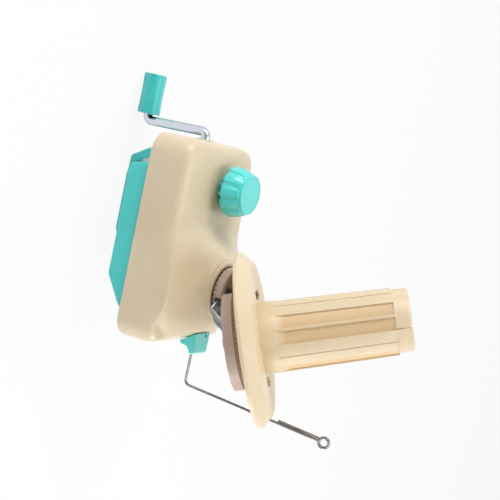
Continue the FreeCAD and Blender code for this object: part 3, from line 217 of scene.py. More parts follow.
def enter(piece):
    take(piece)
    bpy.ops.object.mode_set(mode="EDIT")


def leave():
    bpy.ops.object.mode_set(mode="OBJECT")


def middle(item):
    """Centre of a vertex, an edge or a face, in millimetres."""
    if isinstance(item, bmesh.types.BMVert):
        return item.co / MM
    points = [v.co for v in item.verts]
    return sum(points, Vector()) / len(points) / MM


def pick(piece, kind, test):
    """Selects, in edit mode, each vertex, edge or face whose place passes the test."""
    bpy.ops.mesh.select_mode(type=kind)
    bpy.ops.mesh.select_all(action="DESELECT")
    mesh = bmesh.from_edit_mesh(piece.data)
    items = {"VERT": mesh.verts, "EDGE": mesh.edges, "FACE": mesh.faces}[kind]
    for item in items:
        if test(middle(item), item):
            item.select_set(True)
    mesh.select_flush_mode()
    bmesh.update_edit_mesh(piece.data)


def turn_of(place):
    """Angle about Z in degrees, 0 to 360."""
    return math.degrees(math.atan2(place.y, place.x)) % 360.0


def away(angle, centre):
    """Angle between two directions about Z, 0 to 180."""
    return abs((angle - centre + 180.0) % 360.0 - 180.0)


def turned(name, outline, sides):
    """Turned piece: a ring is extruded and scaled to each radius and height of the outline in turn."""
    clear_selection()
    radius, height = outline[0]
    bpy.ops.mesh.primitive_circle_add(vertices=sides, radius=radius * MM, location=(0.0, 0.0, height * MM))
    piece = bpy.context.object
    piece.name = name
    piece.data.name = name
    bpy.ops.object.transform_apply(location=True, rotation=True, scale=True)
    bpy.ops.object.mode_set(mode="EDIT")
    bpy.ops.mesh.select_mode(type="EDGE")
    bpy.ops.mesh.select_all(action="SELECT")
    for next_radius, next_height in outline[1:]:
        lift = (0.0, 0.0, (next_height - height) * MM)
        bpy.ops.mesh.extrude_edges_move(TRANSFORM_OT_translate={"value": lift})
        grow = next_radius / radius
        bpy.ops.transform.resize(value=(grow, grow, 1.0), center_override=(0.0, 0.0, next_height * MM))
        radius, height = next_radius, next_height
    bpy.ops.mesh.select_all(action="SELECT")
    bpy.ops.mesh.remove_doubles(threshold=JOIN_GAP)
    leave()
    return piece


def close_ends(piece):
    """Fills open rims and turns all faces outwards."""
    enter(piece)
    bpy.ops.mesh.select_mode(type="EDGE")
    bpy.ops.mesh.select_all(action="DESELECT")
    bpy.ops.mesh.select_non_manifold(extend=False, use_wire=False, use_multi_face=False,
                                     use_non_contiguous=False, use_verts=False)
    bpy.ops.mesh.edge_face_add()
    bpy.ops.mesh.select_all(action="SELECT")
    bpy.ops.mesh.normals_make_consistent(inside=False)
    leave()


def face_outwards(piece):
    enter(piece)
    bpy.ops.mesh.select_all(action="SELECT")
    bpy.ops.mesh.normals_make_consistent(inside=False)
    leave()


def carve(piece, cutter):
    """Cuts one piece with another and removes the cutter."""
    take(piece)
    cut = piece.modifiers.new("cut", "BOOLEAN")
    cut.operation = "DIFFERENCE"
    cut.object = cutter
    bpy.ops.object.modifier_apply(modifier="cut")
    bpy.data.objects.remove(cutter, do_unlink=True)


def join_to(piece, others):
    clear_selection()
    for other in others:
        other.select_set(True)
    piece.select_set(True)
    bpy.context.view_layer.objects.active = piece
    bpy.ops.object.join()


def shade(piece, angle=SMOOTH_ANGLE):
    """Shades the piece smooth where its faces meet at less than the angle."""
    take(piece)
    bpy.ops.object.shade_smooth_by_angle(angle=math.radians(angle))


def soften(piece, width, steps, angle=35.0):
    """Rounds the sharp edges and shades the piece smooth."""
    take(piece)
    bevel = piece.modifiers.new("edges", "BEVEL")
    bevel.width = width * MM
    bevel.segments = steps
    bevel.limit_method = "ANGLE"
    bevel.angle_limit = math.radians(angle)
    bevel.use_clamp_overlap = True
    bevel.harden_normals = False
    bpy.ops.object.modifier_apply(modifier="edges")
    shade(piece)


def settle(piece, matrix):
    """Moves the piece's mesh to its place, so that the object stays at the origin."""
    take(piece)
    piece.matrix_world = matrix
    bpy.ops.object.transform_apply(location=True, rotation=True, scale=True)


def block(size, centre, lean):
    """Cutting block in millimetres, leaning in the plane of X and Z."""
    clear_selection()
    bpy.ops.mesh.primitive_cube_add(size=1.0)
    piece = bpy.context.object
    piece.scale = [value * MM for value in size]
    bpy.ops.object.transform_apply(location=True, rotation=True, scale=True)
    at = Matrix.Translation([value * MM for value in centre])
    settle(piece, at @ Matrix.Rotation(math.radians(lean), 4, "Y"))
    return piece


def corner_block(corner, direction, long, deep, wide):
    """Block whose upper edge runs from an (x, z) corner along a direction; its body lies to the right."""
    angle = math.radians(direction)
    along = (math.cos(angle), math.sin(angle))
    down = (math.sin(angle), -math.cos(angle))
    x = corner[0] + along[0] * long / 2 + down[0] * deep / 2
    z = corner[1] + along[1] * long / 2 + down[1] * deep / 2
    return block((long, wide, deep), (x, 0.0, z), -direction)


def on_spindle(turn):
    """From a piece drawn round Z, with the crossing point as origin, to the leaning spindle."""
    return (Matrix.Rotation(math.radians(CARRIER_AZIMUTH), 4, "Z")
            @ Matrix.Translation((0.0, 0.0, AXES_CROSSING * MM))
            @ Matrix.Rotation(math.radians(-TILT), 4, "Y")
            @ Matrix.Rotation(math.radians(turn), 4, "Z"))


def finished(piece, node, body, slot, *materials):
    """Gives the piece its finish and its body, and hides the node that it stands for."""
    if not piece.data.materials:
        for material in materials:
            piece.data.materials.append(material)
    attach(piece, body)
    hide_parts(node)
    return piece


def linear(r, g, b):
    """Colour as seen, 0 to 255, to scene values."""
    out = []
    for c in (r, g, b):
        c = c / 255.0
        out.append(c / 12.92 if c <= 0.04045 else ((c + 0.055) / 1.055) ** 2.4)
    return (out[0], out[1], out[2], 1.0)


# Numbers of the colour sockets of a mix node
MIX_FIRST = 6
MIX_SECOND = 7
MIX_RESULT = 2

# Noise between these values becomes a mask from 0 to 1
PATCH = (0.35, 0.7)
WHOLE = (0.0, 1.0)

# Noise of a moulded skin and of a worked metal, per metre, and the depth of the metal's streaks in metres
CLOUD_SCALE = 38.0
GRAIN_SCALE = 1500.0
STREAK_SCALE = 300.0
STREAK_DEPTH = 0.00004


def ranged(tree, value, taken, given):
    """Turns a value from one range into another."""
    node = tree.nodes.new("ShaderNodeMapRange")
    node.inputs["From Min"].default_value, node.inputs["From Max"].default_value = taken
    node.inputs["To Min"].default_value, node.inputs["To Max"].default_value = given
    tree.links.new(value, node.inputs["Value"])
    return node.outputs["Result"]


def noise_in(tree, vector, scale, detail):
    """Noise of a scale and detail over the given coordinates."""
    node = tree.nodes.new("ShaderNodeTexNoise")
    node.inputs["Scale"].default_value = scale
    node.inputs["Detail"].default_value = detail
    tree.links.new(vector, node.inputs["Vector"])
    return node.outputs["Fac"]


def mould_skin():
    """Uneven tone, painted shade in marked recesses, and fine grain of a moulded skin: colour, roughness and
    height.
    """
    group = bpy.data.node_groups.new("mould_skin", "ShaderNodeTree")
    face = group.interface
    face.new_socket("Colour", in_out="INPUT", socket_type="NodeSocketColor")
    face.new_socket("Deep", in_out="INPUT", socket_type="NodeSocketColor")
    face.new_socket("Painted Shade", in_out="INPUT", socket_type="NodeSocketColor")
    face.new_socket("Gloss Low", in_out="INPUT", socket_type="NodeSocketFloat")
    face.new_socket("Gloss High", in_out="INPUT", socket_type="NodeSocketFloat")
    face.new_socket("Colour", in_out="OUTPUT", socket_type="NodeSocketColor")
    face.new_socket("Roughness", in_out="OUTPUT", socket_type="NodeSocketFloat")
    face.new_socket("Height", in_out="OUTPUT", socket_type="NodeSocketFloat")
    n = group.nodes
    link = group.links.new
    start = n.new("NodeGroupInput")
    end = n.new("NodeGroupOutput")
    where = n.new("ShaderNodeTexCoord")
    cloud = noise_in(group, where.outputs["Object"], CLOUD_SCALE, 3.0)
    grain = noise_in(group, where.outputs["Object"], GRAIN_SCALE, 2.0)
    mix = n.new("ShaderNodeMix")
    mix.data_type = "RGBA"
    link(ranged(group, cloud, PATCH, WHOLE), mix.inputs["Factor"])
    link(start.outputs["Colour"], mix.inputs[MIX_FIRST])
    link(start.outputs["Deep"], mix.inputs[MIX_SECOND])
    # Painted shade: where a piece marks its recesses, the colour goes over to the darker recess colour
    mark = n.new("ShaderNodeAttribute")
    mark.attribute_name = "hollow"
    recess_shade_mix = n.new("ShaderNodeMix")
    recess_shade_mix.data_type = "RGBA"
    link(mark.outputs["Fac"], recess_shade_mix.inputs["Factor"])
    link(mix.outputs[MIX_RESULT], recess_shade_mix.inputs[MIX_FIRST])
    link(start.outputs["Painted Shade"], recess_shade_mix.inputs[MIX_SECOND])
    link(recess_shade_mix.outputs[MIX_RESULT], end.inputs["Colour"])
    rough = n.new("ShaderNodeMapRange")
    link(cloud, rough.inputs["Value"])
    link(start.outputs["Gloss Low"], rough.inputs["To Min"])
    link(start.outputs["Gloss High"], rough.inputs["To Max"])
    link(rough.outputs["Result"], end.inputs["Roughness"])
    link(grain, end.inputs["Height"])
    return group


SKIN = mould_skin()


def moulded(name, colour, deep, hollow, gloss, coat, grain_depth):
    """Moulded plastic with its own tone, gloss and grain, and a darker colour painted as shade in its marked
    recesses.
    """
    material = bpy.data.materials.new(name)
    material.use_nodes = True
    n = material.node_tree.nodes
    link = material.node_tree.links.new
    shader = n["Principled BSDF"]
    shader.inputs["IOR"].default_value = 1.49
    shader.inputs["Coat Weight"].default_value = coat
    shader.inputs["Coat Roughness"].default_value = 0.18
    shader.inputs["Subsurface Weight"].default_value = 0.08
    shader.inputs["Subsurface Scale"].default_value = 0.002
    skin = n.new("ShaderNodeGroup")
    skin.node_tree = SKIN
    skin.inputs["Colour"].default_value = colour
    skin.inputs["Deep"].default_value = deep
    skin.inputs["Painted Shade"].default_value = hollow
    skin.inputs["Gloss Low"].default_value = gloss[0]
    skin.inputs["Gloss High"].default_value = gloss[1]
    bump = n.new("ShaderNodeBump")
    bump.inputs["Strength"].default_value = 0.12
    bump.inputs["Distance"].default_value = grain_depth
    link(skin.outputs["Colour"], shader.inputs["Base Color"])
    link(skin.outputs["Roughness"], shader.inputs["Roughness"])
    link(skin.outputs["Height"], bump.inputs["Height"])
    link(bump.outputs["Normal"], shader.inputs["Normal"])
    return material


def metal(name, colour, dull, edge, rough, streak, scale):
    """Plated or drawn metal with fine streaks and duller patches, darker where the surface turns away."""
    material = bpy.data.materials.new(name)
    material.use_nodes = True
    tree = material.node_tree
    n = tree.nodes
    link = tree.links.new
    shader = n["Principled BSDF"]
    shader.inputs["Metallic"].default_value = 1.0
    shader.inputs["Specular Tint"].default_value = edge
    where = n.new("ShaderNodeTexCoord")
    turn = n.new("ShaderNodeMapping")
    turn.inputs["Scale"].default_value = scale
    link(where.outputs["Object"], turn.inputs["Vector"])
    streaks = noise_in(tree, turn.outputs["Vector"], STREAK_SCALE, 4.0)
    tone = n.new("ShaderNodeMix")
    tone.data_type = "RGBA"
    tone.inputs[MIX_FIRST].default_value = colour
    tone.inputs[MIX_SECOND].default_value = dull
    link(ranged(tree, streaks, PATCH, WHOLE), tone.inputs["Factor"])
    link(tone.outputs[MIX_RESULT], shader.inputs["Base Color"])
    link(ranged(tree, streaks, WHOLE, rough), shader.inputs["Roughness"])
    bump = n.new("ShaderNodeBump")
    bump.inputs["Strength"].default_value = streak
    bump.inputs["Distance"].default_value = STREAK_DEPTH
    link(streaks, bump.inputs["Height"])
    link(bump.outputs["Normal"], shader.inputs["Normal"])
    return material


# Each moulded finish: colour, deeper random tone, and the colour painted as shade in marked recesses
housing_beige = moulded("housing_beige", linear(222, 205, 174), linear(217, 199, 167), linear(190, 168, 136),
                        gloss=(0.27, 0.37), coat=0.2, grain_depth=0.00003)
spool_cream = moulded("spool_cream", linear(228, 209, 176), linear(224, 204, 170), linear(223, 193, 149),
                      gloss=(0.36, 0.46), coat=0.10, grain_depth=0.00003)
# One teal plastic in two copies: the first painted darker as shade, for cover, clamp bar and grip; the second
# painted lighter as light, for knob and holder
teal_shaded_copy = moulded("teal_shaded_copy", linear(62, 209, 205), linear(56, 203, 199), linear(16, 70, 66),
                     gloss=(0.26, 0.36), coat=0.5, grain_depth=0.00002)
teal_lit_copy = moulded("teal_lit_copy", linear(68, 222, 218), linear(62, 216, 212), linear(14, 62, 58),
                    gloss=(0.2, 0.3), coat=1.0, grain_depth=0.00002)
gear_brown = moulded("gear_brown", linear(188, 167, 152), linear(181, 159, 144), linear(96, 76, 63),
                     gloss=(0.42, 0.55), coat=0.05, grain_depth=0.00003)
bearing_white = moulded("bearing_white", linear(226, 224, 214), linear(218, 215, 204), linear(150, 148, 140),
                        gloss=(0.4, 0.5), coat=0.05, grain_depth=0.00002)
chrome_rod = metal("chrome_rod", linear(214, 220, 229), linear(206, 212, 222), linear(132, 140, 152),
                   rough=(0.12, 0.2), streak=0.05, scale=(1.0, 1.0, 0.2))
strap_plate = metal("strap_plate", linear(198, 206, 218), linear(188, 196, 208), linear(158, 166, 178),
                    rough=(0.34, 0.44), streak=0.08, scale=(1.0, 1.0, 1.0))
guide_steel = metal("guide_steel", linear(172, 168, 165), linear(142, 137, 134), linear(68, 64, 62),
                    rough=(0.1, 0.18), streak=0.1, scale=(1.0, 1.0, 0.15))
screw_zinc = metal("screw_zinc", linear(166, 170, 174), linear(148, 152, 156), linear(110, 114, 118),
                   rough=(0.28, 0.42), streak=0.12, scale=(1.0, 1.0, 1.0))

# Finish of the pieces that stay as the CAD gives them, by material slot
SLOT_FINISH = {
    "housing_plastic": housing_beige,
    "spool_plastic": spool_cream,
    "teal_plastic": teal_shaded_copy,
    "brown_plastic": gear_brown,
    "bearing_plastic": bearing_white,
    "chromed_rod": chrome_rod,
    "guide_steel": guide_steel,
    "screw_steel": screw_zinc,
}

for part in frame["record"]["subparts"]:
    node = nodes[part["node"]]
    node.data.materials.clear()
    node.data.materials.append(SLOT_FINISH[part["material_slot"]])


def press_in(depth):
    """Pushes the selected faces inwards, leaving walls round them."""
    bpy.ops.mesh.extrude_region_move(TRANSFORM_OT_translate={"value": (0.0, 0.0, 0.0)})
    bpy.ops.transform.shrink_fatten(value=-depth * MM)


def draw_out(piece, distance, test=lambda place: True):
    """Moves selected vertices that pass the test away from Z, or towards it by a negative distance."""
    mesh = bmesh.from_edit_mesh(piece.data)
    for vertex in mesh.verts:
        if vertex.select and test(vertex.co / MM):
            outward = Vector((vertex.co.x, vertex.co.y, 0.0)).normalized()
            vertex.co += outward * distance * MM
    bmesh.update_edit_mesh(piece.data)


def flute(piece, count, sides, low, high, depths):
    """Draws upright lines of vertices in, so that each lobe stands between two flutes.

    The depths run outwards from a flute's middle.
    """
    step = 360.0 / count
    line = 360.0 / sides
    enter(piece)
    for number, depth in enumerate(depths):
        def on_line(place, item):
            angle = turn_of(place) % step
            from_middle = min(angle, step - angle)
            return low <= place.z <= high and abs(from_middle - number * line) < 0.3 * line

        pick(piece, "VERT", on_line)
        draw_out(piece, -depth)
    leave()


def shade_hollow(piece, value_at):
    """Marks how strongly painted shade darkens each vertex of the selected faces."""
    mesh = bmesh.from_edit_mesh(piece.data)
    layer = mesh.verts.layers.float.get("hollow") or mesh.verts.layers.float.new("hollow")
    for vertex in mesh.verts:
        if vertex.select:
            vertex[layer] = value_at(vertex.co / MM)
    bmesh.update_edit_mesh(piece.data)


def spool_core():
    """Cone: pale bars stand proud of the wall, with a thin rib in each sunk panel and slits in the end band;
    panels and grooves are painted darker as shade.
    """
    def wall_radius(height):
        return CONE_FOOT_RADIUS + (CONE_TOP_RADIUS - CONE_FOOT_RADIUS) / CONE_LENGTH * height

    low = CONE_BAND
    full = low + PANEL_RUN_OUT
    high = CONE_LENGTH - CONE_BAND
    fade = high - PANEL_FADE
    r_high = wall_radius(high)
    r_end = CONE_TOP_RADIUS - BAND_STEP
    outline = [(CONE_FOOT_RADIUS, 0.0), (wall_radius(low), low), (wall_radius(full), full),
               (wall_radius(fade), fade), (r_high, high), (r_high - BAND_STEP, high + 0.1),
               (r_end, CONE_LENGTH - 1.3), (r_end - 0.35, CONE_LENGTH - 0.45), (r_end - 0.9, CONE_LENGTH),
               (CONE_TOP_RADIUS - CONE_WALL, CONE_LENGTH), (CONE_FOOT_RADIUS - CONE_WALL, CONE_FLOOR),
               (SLEEVE_BORE, CONE_FLOOR), (SLEEVE_BORE, 0.0), (CONE_FOOT_RADIUS, 0.0)]
    piece = turned("spool_core", outline, SPOOL_SIDES)
    face_outwards(piece)
    enter(piece)

    def on_wall(place):
        return low < place.z < high and place.xy.length > r_high - 1.0

    def at_panel_foot(place):
        return abs(place.z - low) < 0.1

    # Painted shade in the sunk panels: faint at their foot, full along them, half near the end band
    def panel_painted_shade(place):
        if place.z < low + 1.0:
            return 0.2
        return 1.0 if place.z < fade + 1.0 else 0.45

    for quarter in range(4):
        for side in (-1, 1):
            centre = quarter * 90.0 + side * (PANEL_HALF_ANGLE + RIB_HALF_ANGLE) / 2
            half = (PANEL_HALF_ANGLE - RIB_HALF_ANGLE) / 2
            pick(piece, "FACE", lambda place, item: on_wall(place) and away(turn_of(place), centre) < half)
            press_in(PANEL_DEPTH)
            draw_out(piece, PANEL_DEPTH - 0.1, at_panel_foot)
            shade_hollow(piece, panel_painted_shade)
        centre = quarter * 90.0 + 45.0
        half = GROOVE_HALF_ANGLE
        pick(piece, "FACE", lambda place, item: on_wall(place) and away(turn_of(place), centre) < half)
        press_in(GROOVE_DEPTH)
        # The grooves between the bars get a faint painted shade
        shade_hollow(piece, lambda place: GROOVE_PAINTED_SHADE)
    leave()
    soften(piece, CONE_ROUNDING, 2)
    for quarter in range(4):
        slit_middle = (CONE_TOP_RADIUS, 0.0, CONE_LENGTH - CONE_BAND / 2 + 1.4)
        cutter = block((6.0, CONE_SLIT, CONE_BAND + 2.0), slit_middle, 0.0)
        settle(cutter, Matrix.Rotation(math.radians(quarter * 90.0 + PANEL_HALF_ANGLE - 1.0), 4, "Z"))
        carve(piece, cutter)
    settle(piece, on_spindle(FACING + PANEL_TURN) @ Matrix.Translation((0.0, 0.0, CONE_FOOT * MM)))
    return finished(piece, "spool_cone", "spool", "spool_plastic", spool_cream)


def spool_plate():
    """Flange: a shallow dish with a raised middle and two curved windows beside the cone."""
    top = PLATEAU_RISE - RIM_PLANE
    skirt = RIM_RADIUS - PLATEAU_RADIUS
    wall = FLANGE_WALL
    inner, outer = WINDOW_RING
    outline = [(SLEEVE_BORE, top), (inner, top), (outer, top), (PLATEAU_RADIUS, top), (RIM_RADIUS, top - skirt),
               (RIM_RADIUS, -RIM_PLANE), (RIM_RADIUS - wall, -RIM_PLANE),
               (RIM_RADIUS - wall, top - skirt - wall / 2), (PLATEAU_RADIUS - 0.7, top - wall),
               (outer, top - wall), (inner, top - wall), (SLEEVE_BORE, top - wall), (SLEEVE_BORE, top)]
    piece = turned("spool_plate", outline, SPOOL_SIDES)
    face_outwards(piece)
    enter(piece)
    for side in (90.0, 270.0):
        def in_window(place, item):
            beside = away(turn_of(place), side) < WINDOW_HALF_ANGLE
            return beside and inner < place.xy.length < outer and abs(item.normal.z) > 0.9

        pick(piece, "FACE", in_window)
        bpy.ops.mesh.bridge_edge_loops()
    leave()
    soften(piece, FLANGE_ROUNDING, 3)
    settle(piece, on_spindle(FACING))
    return finished(piece, "spool_flange", "spool", "spool_plastic", spool_cream)


def knob_cap():
    """Clamp knob: a flat disc with a thin rim over broad flutes, on a ring with slots."""
    foot = KNOB_FOOT
    top = KNOB_TOP
    r0 = KNOB_FOOT_RADIUS
    r1 = KNOB_TOP_RADIUS
    hub = KNOB_HUB_FOOT
    outline = [(0.05, KNOB_BORE_TOP), (KNOB_BORE, KNOB_BORE_TOP), (KNOB_BORE, hub), (KNOB_RING_RADIUS, hub),
               (KNOB_RING_RADIUS, hub + 0.35), (KNOB_RING_RADIUS, hub + 2.6), (KNOB_RING_RADIUS, hub + 4.0),
               (KNOB_HUB_RADIUS, hub + 4.0), (KNOB_HUB_RADIUS, top - 2.2), (r1 - 2.4, top - 2.2),
               (r0 - 2.0, foot), (r0 - 0.3, foot), (r0, foot + 0.35), (r0 - 0.3, foot + 2.6),
               (r0 - 0.85, foot + 5.4), (r0 - 1.5, foot + 8.0), (r1 + 1.1, top - 3.1), (r1 + 0.8, top - 2.2),
               (r1 + 0.35, top - 1.65), (r1 - 0.1, top - 1.4), (r1, top - 1.1), (r1, top - 0.4),
               (r1 - 0.12, top - 0.1), (r1 - 0.4, top), (r1 - 1.1, top), (r1 - 1.35, top - 0.22),
               (0.05, top - 0.22)]
    piece = turned("knob_cap", outline, KNOB_SIDES)
    close_ends(piece)
    flute(piece, KNOB_LOBES, KNOB_SIDES, foot - 0.1, top - 3.0, KNOB_FLUTE)
    shallower = [depth * KNOB_RIM_SHARE for depth in KNOB_FLUTE]
    flute(piece, KNOB_LOBES, KNOB_SIDES, top - 2.3, top - 2.1, shallower)
    enter(piece)

    def in_slot(place, item):
        beside = (turn_of(place) - KNOB_SLOT_TURN + KNOB_SLOT_STEP / 2) % KNOB_SLOT_STEP - KNOB_SLOT_STEP / 2
        outer = place.xy.length > KNOB_RING_RADIUS - 0.2
        return outer and hub + 0.35 < place.z < hub + 2.6 and abs(beside) < KNOB_SLOT_HALF

    pick(piece, "FACE", in_slot)
    press_in(KNOB_SLOT_DEPTH)
    # The slots are painted dark as shade, in the finish's recess colour
    shade_hollow(piece, lambda place: 1.0)
    leave()
    soften(piece, KNOB_ROUNDING, 2, 42.0)
    centre = Matrix.Translation((SCREW_PLACE[0] * MM, SCREW_PLACE[1] * MM, 0.0))
    settle(piece, centre @ Matrix.Rotation(math.radians(KNOB_TURN), 4, "Z"))
    return finished(piece, "clamp_knob", "clamp_drive", "teal_plastic", teal_lit_copy)


def grip_sleeve():
    """Handle grip: broad shallow flutes, a slight waist and an opening round the rod."""
    r = GRIP_RADIUS
    length = GRIP_LENGTH
    bore = ROD_RADIUS + GRIP_PLAY
    outline = [(bore, 2.0), (GRIP_MOUTH, 2.0), (GRIP_MOUTH, 0.3), (GRIP_MOUTH + 0.3, 0.0), (r - 0.5, 0.0),
               (r - 0.15, 0.15), (r, 0.5), (r - 0.1, 4.0), (r - 0.22, 8.0), (r - 0.27, length / 2),
               (r - 0.22, length - 8.0), (r - 0.1, length - 4.0), (r, length - 0.5), (r - 0.15, length - 0.15),
               (r - 0.5, length), (GRIP_MOUTH + 0.3, length), (GRIP_MOUTH, length - 0.3),
               (GRIP_MOUTH, length - 4.5), (bore, length - 4.5), (bore, 2.0)]
    piece = turned("grip_sleeve", outline, GRIP_SIDES)
    face_outwards(piece)
    flute(piece, GRIP_FLUTES, GRIP_SIDES, 0.4, length - 0.4, GRIP_FLUTE)
    enter(piece)
    # The opening round the rod is painted dark as shade, in the finish's recess colour
    pick(piece, "FACE", lambda place, item: place.xy.length < GRIP_MOUTH + 0.1)
    shade_hollow(piece, lambda place: 1.0)
    leave()
    shade(piece, 38.0)
    centre = Matrix.Translation(((CRANK_ARM_X - GRIP_START) * MM, 0.0, (SHAFT_HEIGHT - CRANK_ARM) * MM))
    lying = Matrix.Rotation(math.radians(-90.0), 4, "Y")
    settle(piece, centre @ lying @ Matrix.Rotation(math.radians(GRIP_TURN), 4, "Z"))
    return finished(piece, "handle_grip", "grip", "teal_plastic", teal_shaded_copy)


def copied(node, name):
    """Copy of a solid with its triangles joined."""
    clear_selection()
    piece = nodes[node].copy()
    piece.data = nodes[node].data.copy()
    piece.name = name
    piece.data.name = name
    piece.data.materials.clear()
    bpy.context.collection.objects.link(piece)
    enter(piece)
    bpy.ops.mesh.select_all(action="SELECT")
    bpy.ops.mesh.remove_doubles(threshold=JOIN_GAP)
    leave()
    bpy.ops.mesh.customdata_custom_splitnormals_clear()
    return piece


def weighted(piece, name, weight_at):
    """Vertex group whose weight goes by a vertex's place in millimetres."""
    group = piece.vertex_groups.new(name=name)
    for vertex in piece.data.vertices:
        group.add([vertex.index], weight_at(vertex.co / MM), "REPLACE")


def melted(piece, grain, passes):
    """Gives a moulded piece one even skin and rounds its edges and hollows softly."""
    take(piece)
    remesh = piece.modifiers.new("skin", "REMESH")
    remesh.mode = "VOXEL"
    remesh.voxel_size = grain * MM
    remesh.use_smooth_shade = True
    bpy.ops.object.modifier_apply(modifier="skin")
    for rounds, weight_at in passes:
        weighted(piece, "soft", weight_at)
        smooth = piece.modifiers.new("soft", "SMOOTH")
        smooth.factor = 0.5
        smooth.iterations = rounds
        smooth.vertex_group = "soft"
        bpy.ops.object.modifier_apply(modifier="soft")
        piece.vertex_groups.remove(piece.vertex_groups["soft"])
    bpy.ops.object.shade_smooth()


def ramp(value, span):
    """0 below the span, 1 above it and a smooth rise within."""
    low, high = span
    t = min(1.0, max(0.0, (value - low) / (high - low)))
    return t * t * (3.0 - 2.0 * t)


def housing_shell():
    """Housing: soft hump and broadly rounded upper edges, with a crisp lip round the turntable."""
    def everywhere(place):
        collar = ramp(place.xy.length, COLLAR_EDGE) if place.z > COLLAR_LEVEL else 1.0
        return max(LEAST_SOFT, collar * ramp(place.z, WALL_FOOT))

    def hump_foot(place):
        return ramp(place.xy.length, HUMP_RADIUS) * ramp(place.z, HUMP_HEIGHT) * ramp(place.x, HUMP_LENGTH)

    def upper_edge(place):
        beside = max(ramp(abs(place.y), SIDE_EDGE), ramp(-place.x, CRANK_END_EDGE))
        at_holder = ramp(place.x, HOLDER_LENGTH) * (1.0 - ramp(abs(place.y), HOLDER_SIDE))
        return beside * ramp(place.z, TOP_EDGE) * (1.0 - at_holder)

    def box_edge(place):
        return upper_edge(place) * ramp(-place.x, BOX_LENGTH)

    piece = copied("upper_housing", "housing_shell")
    melted(piece, HOUSING_GRAIN, [(SKIN_SOFT, everywhere), (HUMP_SOFT, hump_foot), (UPPER_SOFT, upper_edge),
                                  (EDGE_SOFT, box_edge)])
    lip = turned("collar_lip", COLLAR_LIP, COLLAR_SIDES)
    face_outwards(lip)
    shade(lip, 60.0)
    join_to(piece, [lip])
    return finished(piece, "upper_housing", "housing", "housing_plastic", housing_beige)


def cover_tub():
    """Bottom cover with a rounded lower edge."""
    piece = copied("bottom_cover", "cover_tub")
    melted(piece, COVER_GRAIN, [(SKIN_SOFT, lambda place: 1.0 - ramp(place.z, COVER_FOOT))])
    return finished(piece, "bottom_cover", "housing", "teal_plastic", teal_shaded_copy)


def holder_block():
    """Guide holder: its lower outer corner is cut back under the top."""
    piece = copied("guide_holder", "holder_block")
    for direction, long, deep in HOLDER_CUTS:
        carve(piece, corner_block(HOLDER_NOTCH, direction, long, deep, HOLDER_CUT_WIDTH))
    melted(piece, HOLDER_GRAIN, [(HOLDER_SOFT, lambda place: 1.0)])
    return finished(piece, "guide_holder", "housing", "teal_plastic", teal_lit_copy)


def clamp_bar():
    """Clamp bar with a round heel tip."""
    def heel(place):
        return ramp(-place.z, HEEL_DEPTH) * ramp(-place.x, HEEL_LENGTH)

    piece = copied("clamp_arm", "clamp_bar")
    melted(piece, CLAMP_GRAIN, [(CLAMP_SOFT, lambda place: 1.0), (HEEL_SOFT, heel)])
    return finished(piece, "clamp_arm", "clamp_jaw", "teal_plastic", teal_shaded_copy)


def table_ring():
    """Turntable: the outer wall is drawn out until it nearly fills the collar."""
    piece = copied("turntable", "table_ring")
    enter(piece)
    pick(piece, "VERT", lambda place, item: place.xy.length > TABLE_RADIUS - 1.0 and place.z > 56.0)
    grow = (TABLE_RADIUS + TABLE_GROWTH) / TABLE_RADIUS
    bpy.ops.transform.resize(value=(grow, grow, 1.0), center_override=(0.0, 0.0, 0.0))
    leave()
    shade(piece)
    return finished(piece, "turntable", "carrier", "brown_plastic", gear_brown)


def gear_disc():
    """Spool gear with a shallower skirt."""
    piece = copied("spool_gear", "gear_disc")
    settle(piece, on_spindle(0.0).inverted())
    enter(piece)

    def skirt_rim(place, item):
        return place.z < -SKIRT_FOOT + 0.5 and place.xy.length > SKIRT_RADIUS - 4.0

    pick(piece, "VERT", skirt_rim)
    bpy.ops.transform.translate(value=(0.0, 0.0, SKIRT_LIFT * MM))
    leave()
    shade(piece)
    settle(piece, on_spindle(0.0))
    return finished(piece, "spool_gear", "spool", "brown_plastic", gear_brown)


def spindle_strip():
    """Bent strap, a little broader, with rounded edges."""
    piece = copied("spindle_strap", "spindle_strip")
    swing = Matrix.Rotation(math.radians(CARRIER_AZIMUTH), 4, "Z")
    settle(piece, swing.inverted())
    enter(piece)
    bpy.ops.mesh.select_all(action="SELECT")
    bpy.ops.mesh.dissolve_limited(angle_limit=math.radians(1.0))
    for side in (-1.0, 1.0):
        pick(piece, "VERT", lambda place, item: place.y * side > STRAP_WIDTH / 2 - 0.6)
        bpy.ops.transform.translate(value=(0.0, side * STRAP_BROADER * MM, 0.0))
    leave()
    soften(piece, STRAP_ROUNDING, 2)
    settle(piece, swing)
    return finished(piece, "spindle_strap", "carrier", "chromed_rod", strap_plate)


def rod_bent(name, radius, start, heading, moves, sides=24):
    """Round rod from straight lengths and bends: each move is (length, bend radius, angle, axis)."""
    clear_selection()
    bpy.ops.mesh.primitive_circle_add(vertices=sides, radius=radius * MM, fill_type="NGON")
    piece = bpy.context.object
    piece.name = name
    piece.data.name = name
    facing = Vector((0.0, 0.0, 1.0)).rotation_difference(heading).to_matrix().to_4x4()
    settle(piece, Matrix.Translation(start * MM) @ facing)
    bpy.ops.object.mode_set(mode="EDIT")
    bpy.ops.mesh.select_mode(type="FACE")
    bpy.ops.mesh.select_all(action="SELECT")
    here = start.copy()
    way = heading.normalized()
    for length, bend, angle, axis in moves:
        bpy.ops.mesh.extrude_region_move(TRANSFORM_OT_translate={"value": way * length * MM})
        here = here + way * length
        if bend:
            inward = axis.cross(way).normalized()
            centre = here + inward * bend
            steps = max(4, int(angle / DEGREES_A_STEP))
            bpy.ops.mesh.spin(steps=steps, dupli=False, angle=-math.radians(angle), center=centre * MM,
                              axis=axis)
            turn = Matrix.Rotation(math.radians(angle), 3, axis)
            here = centre + turn @ (here - centre)
            way = (turn @ way).normalized()
    leave()
    return piece


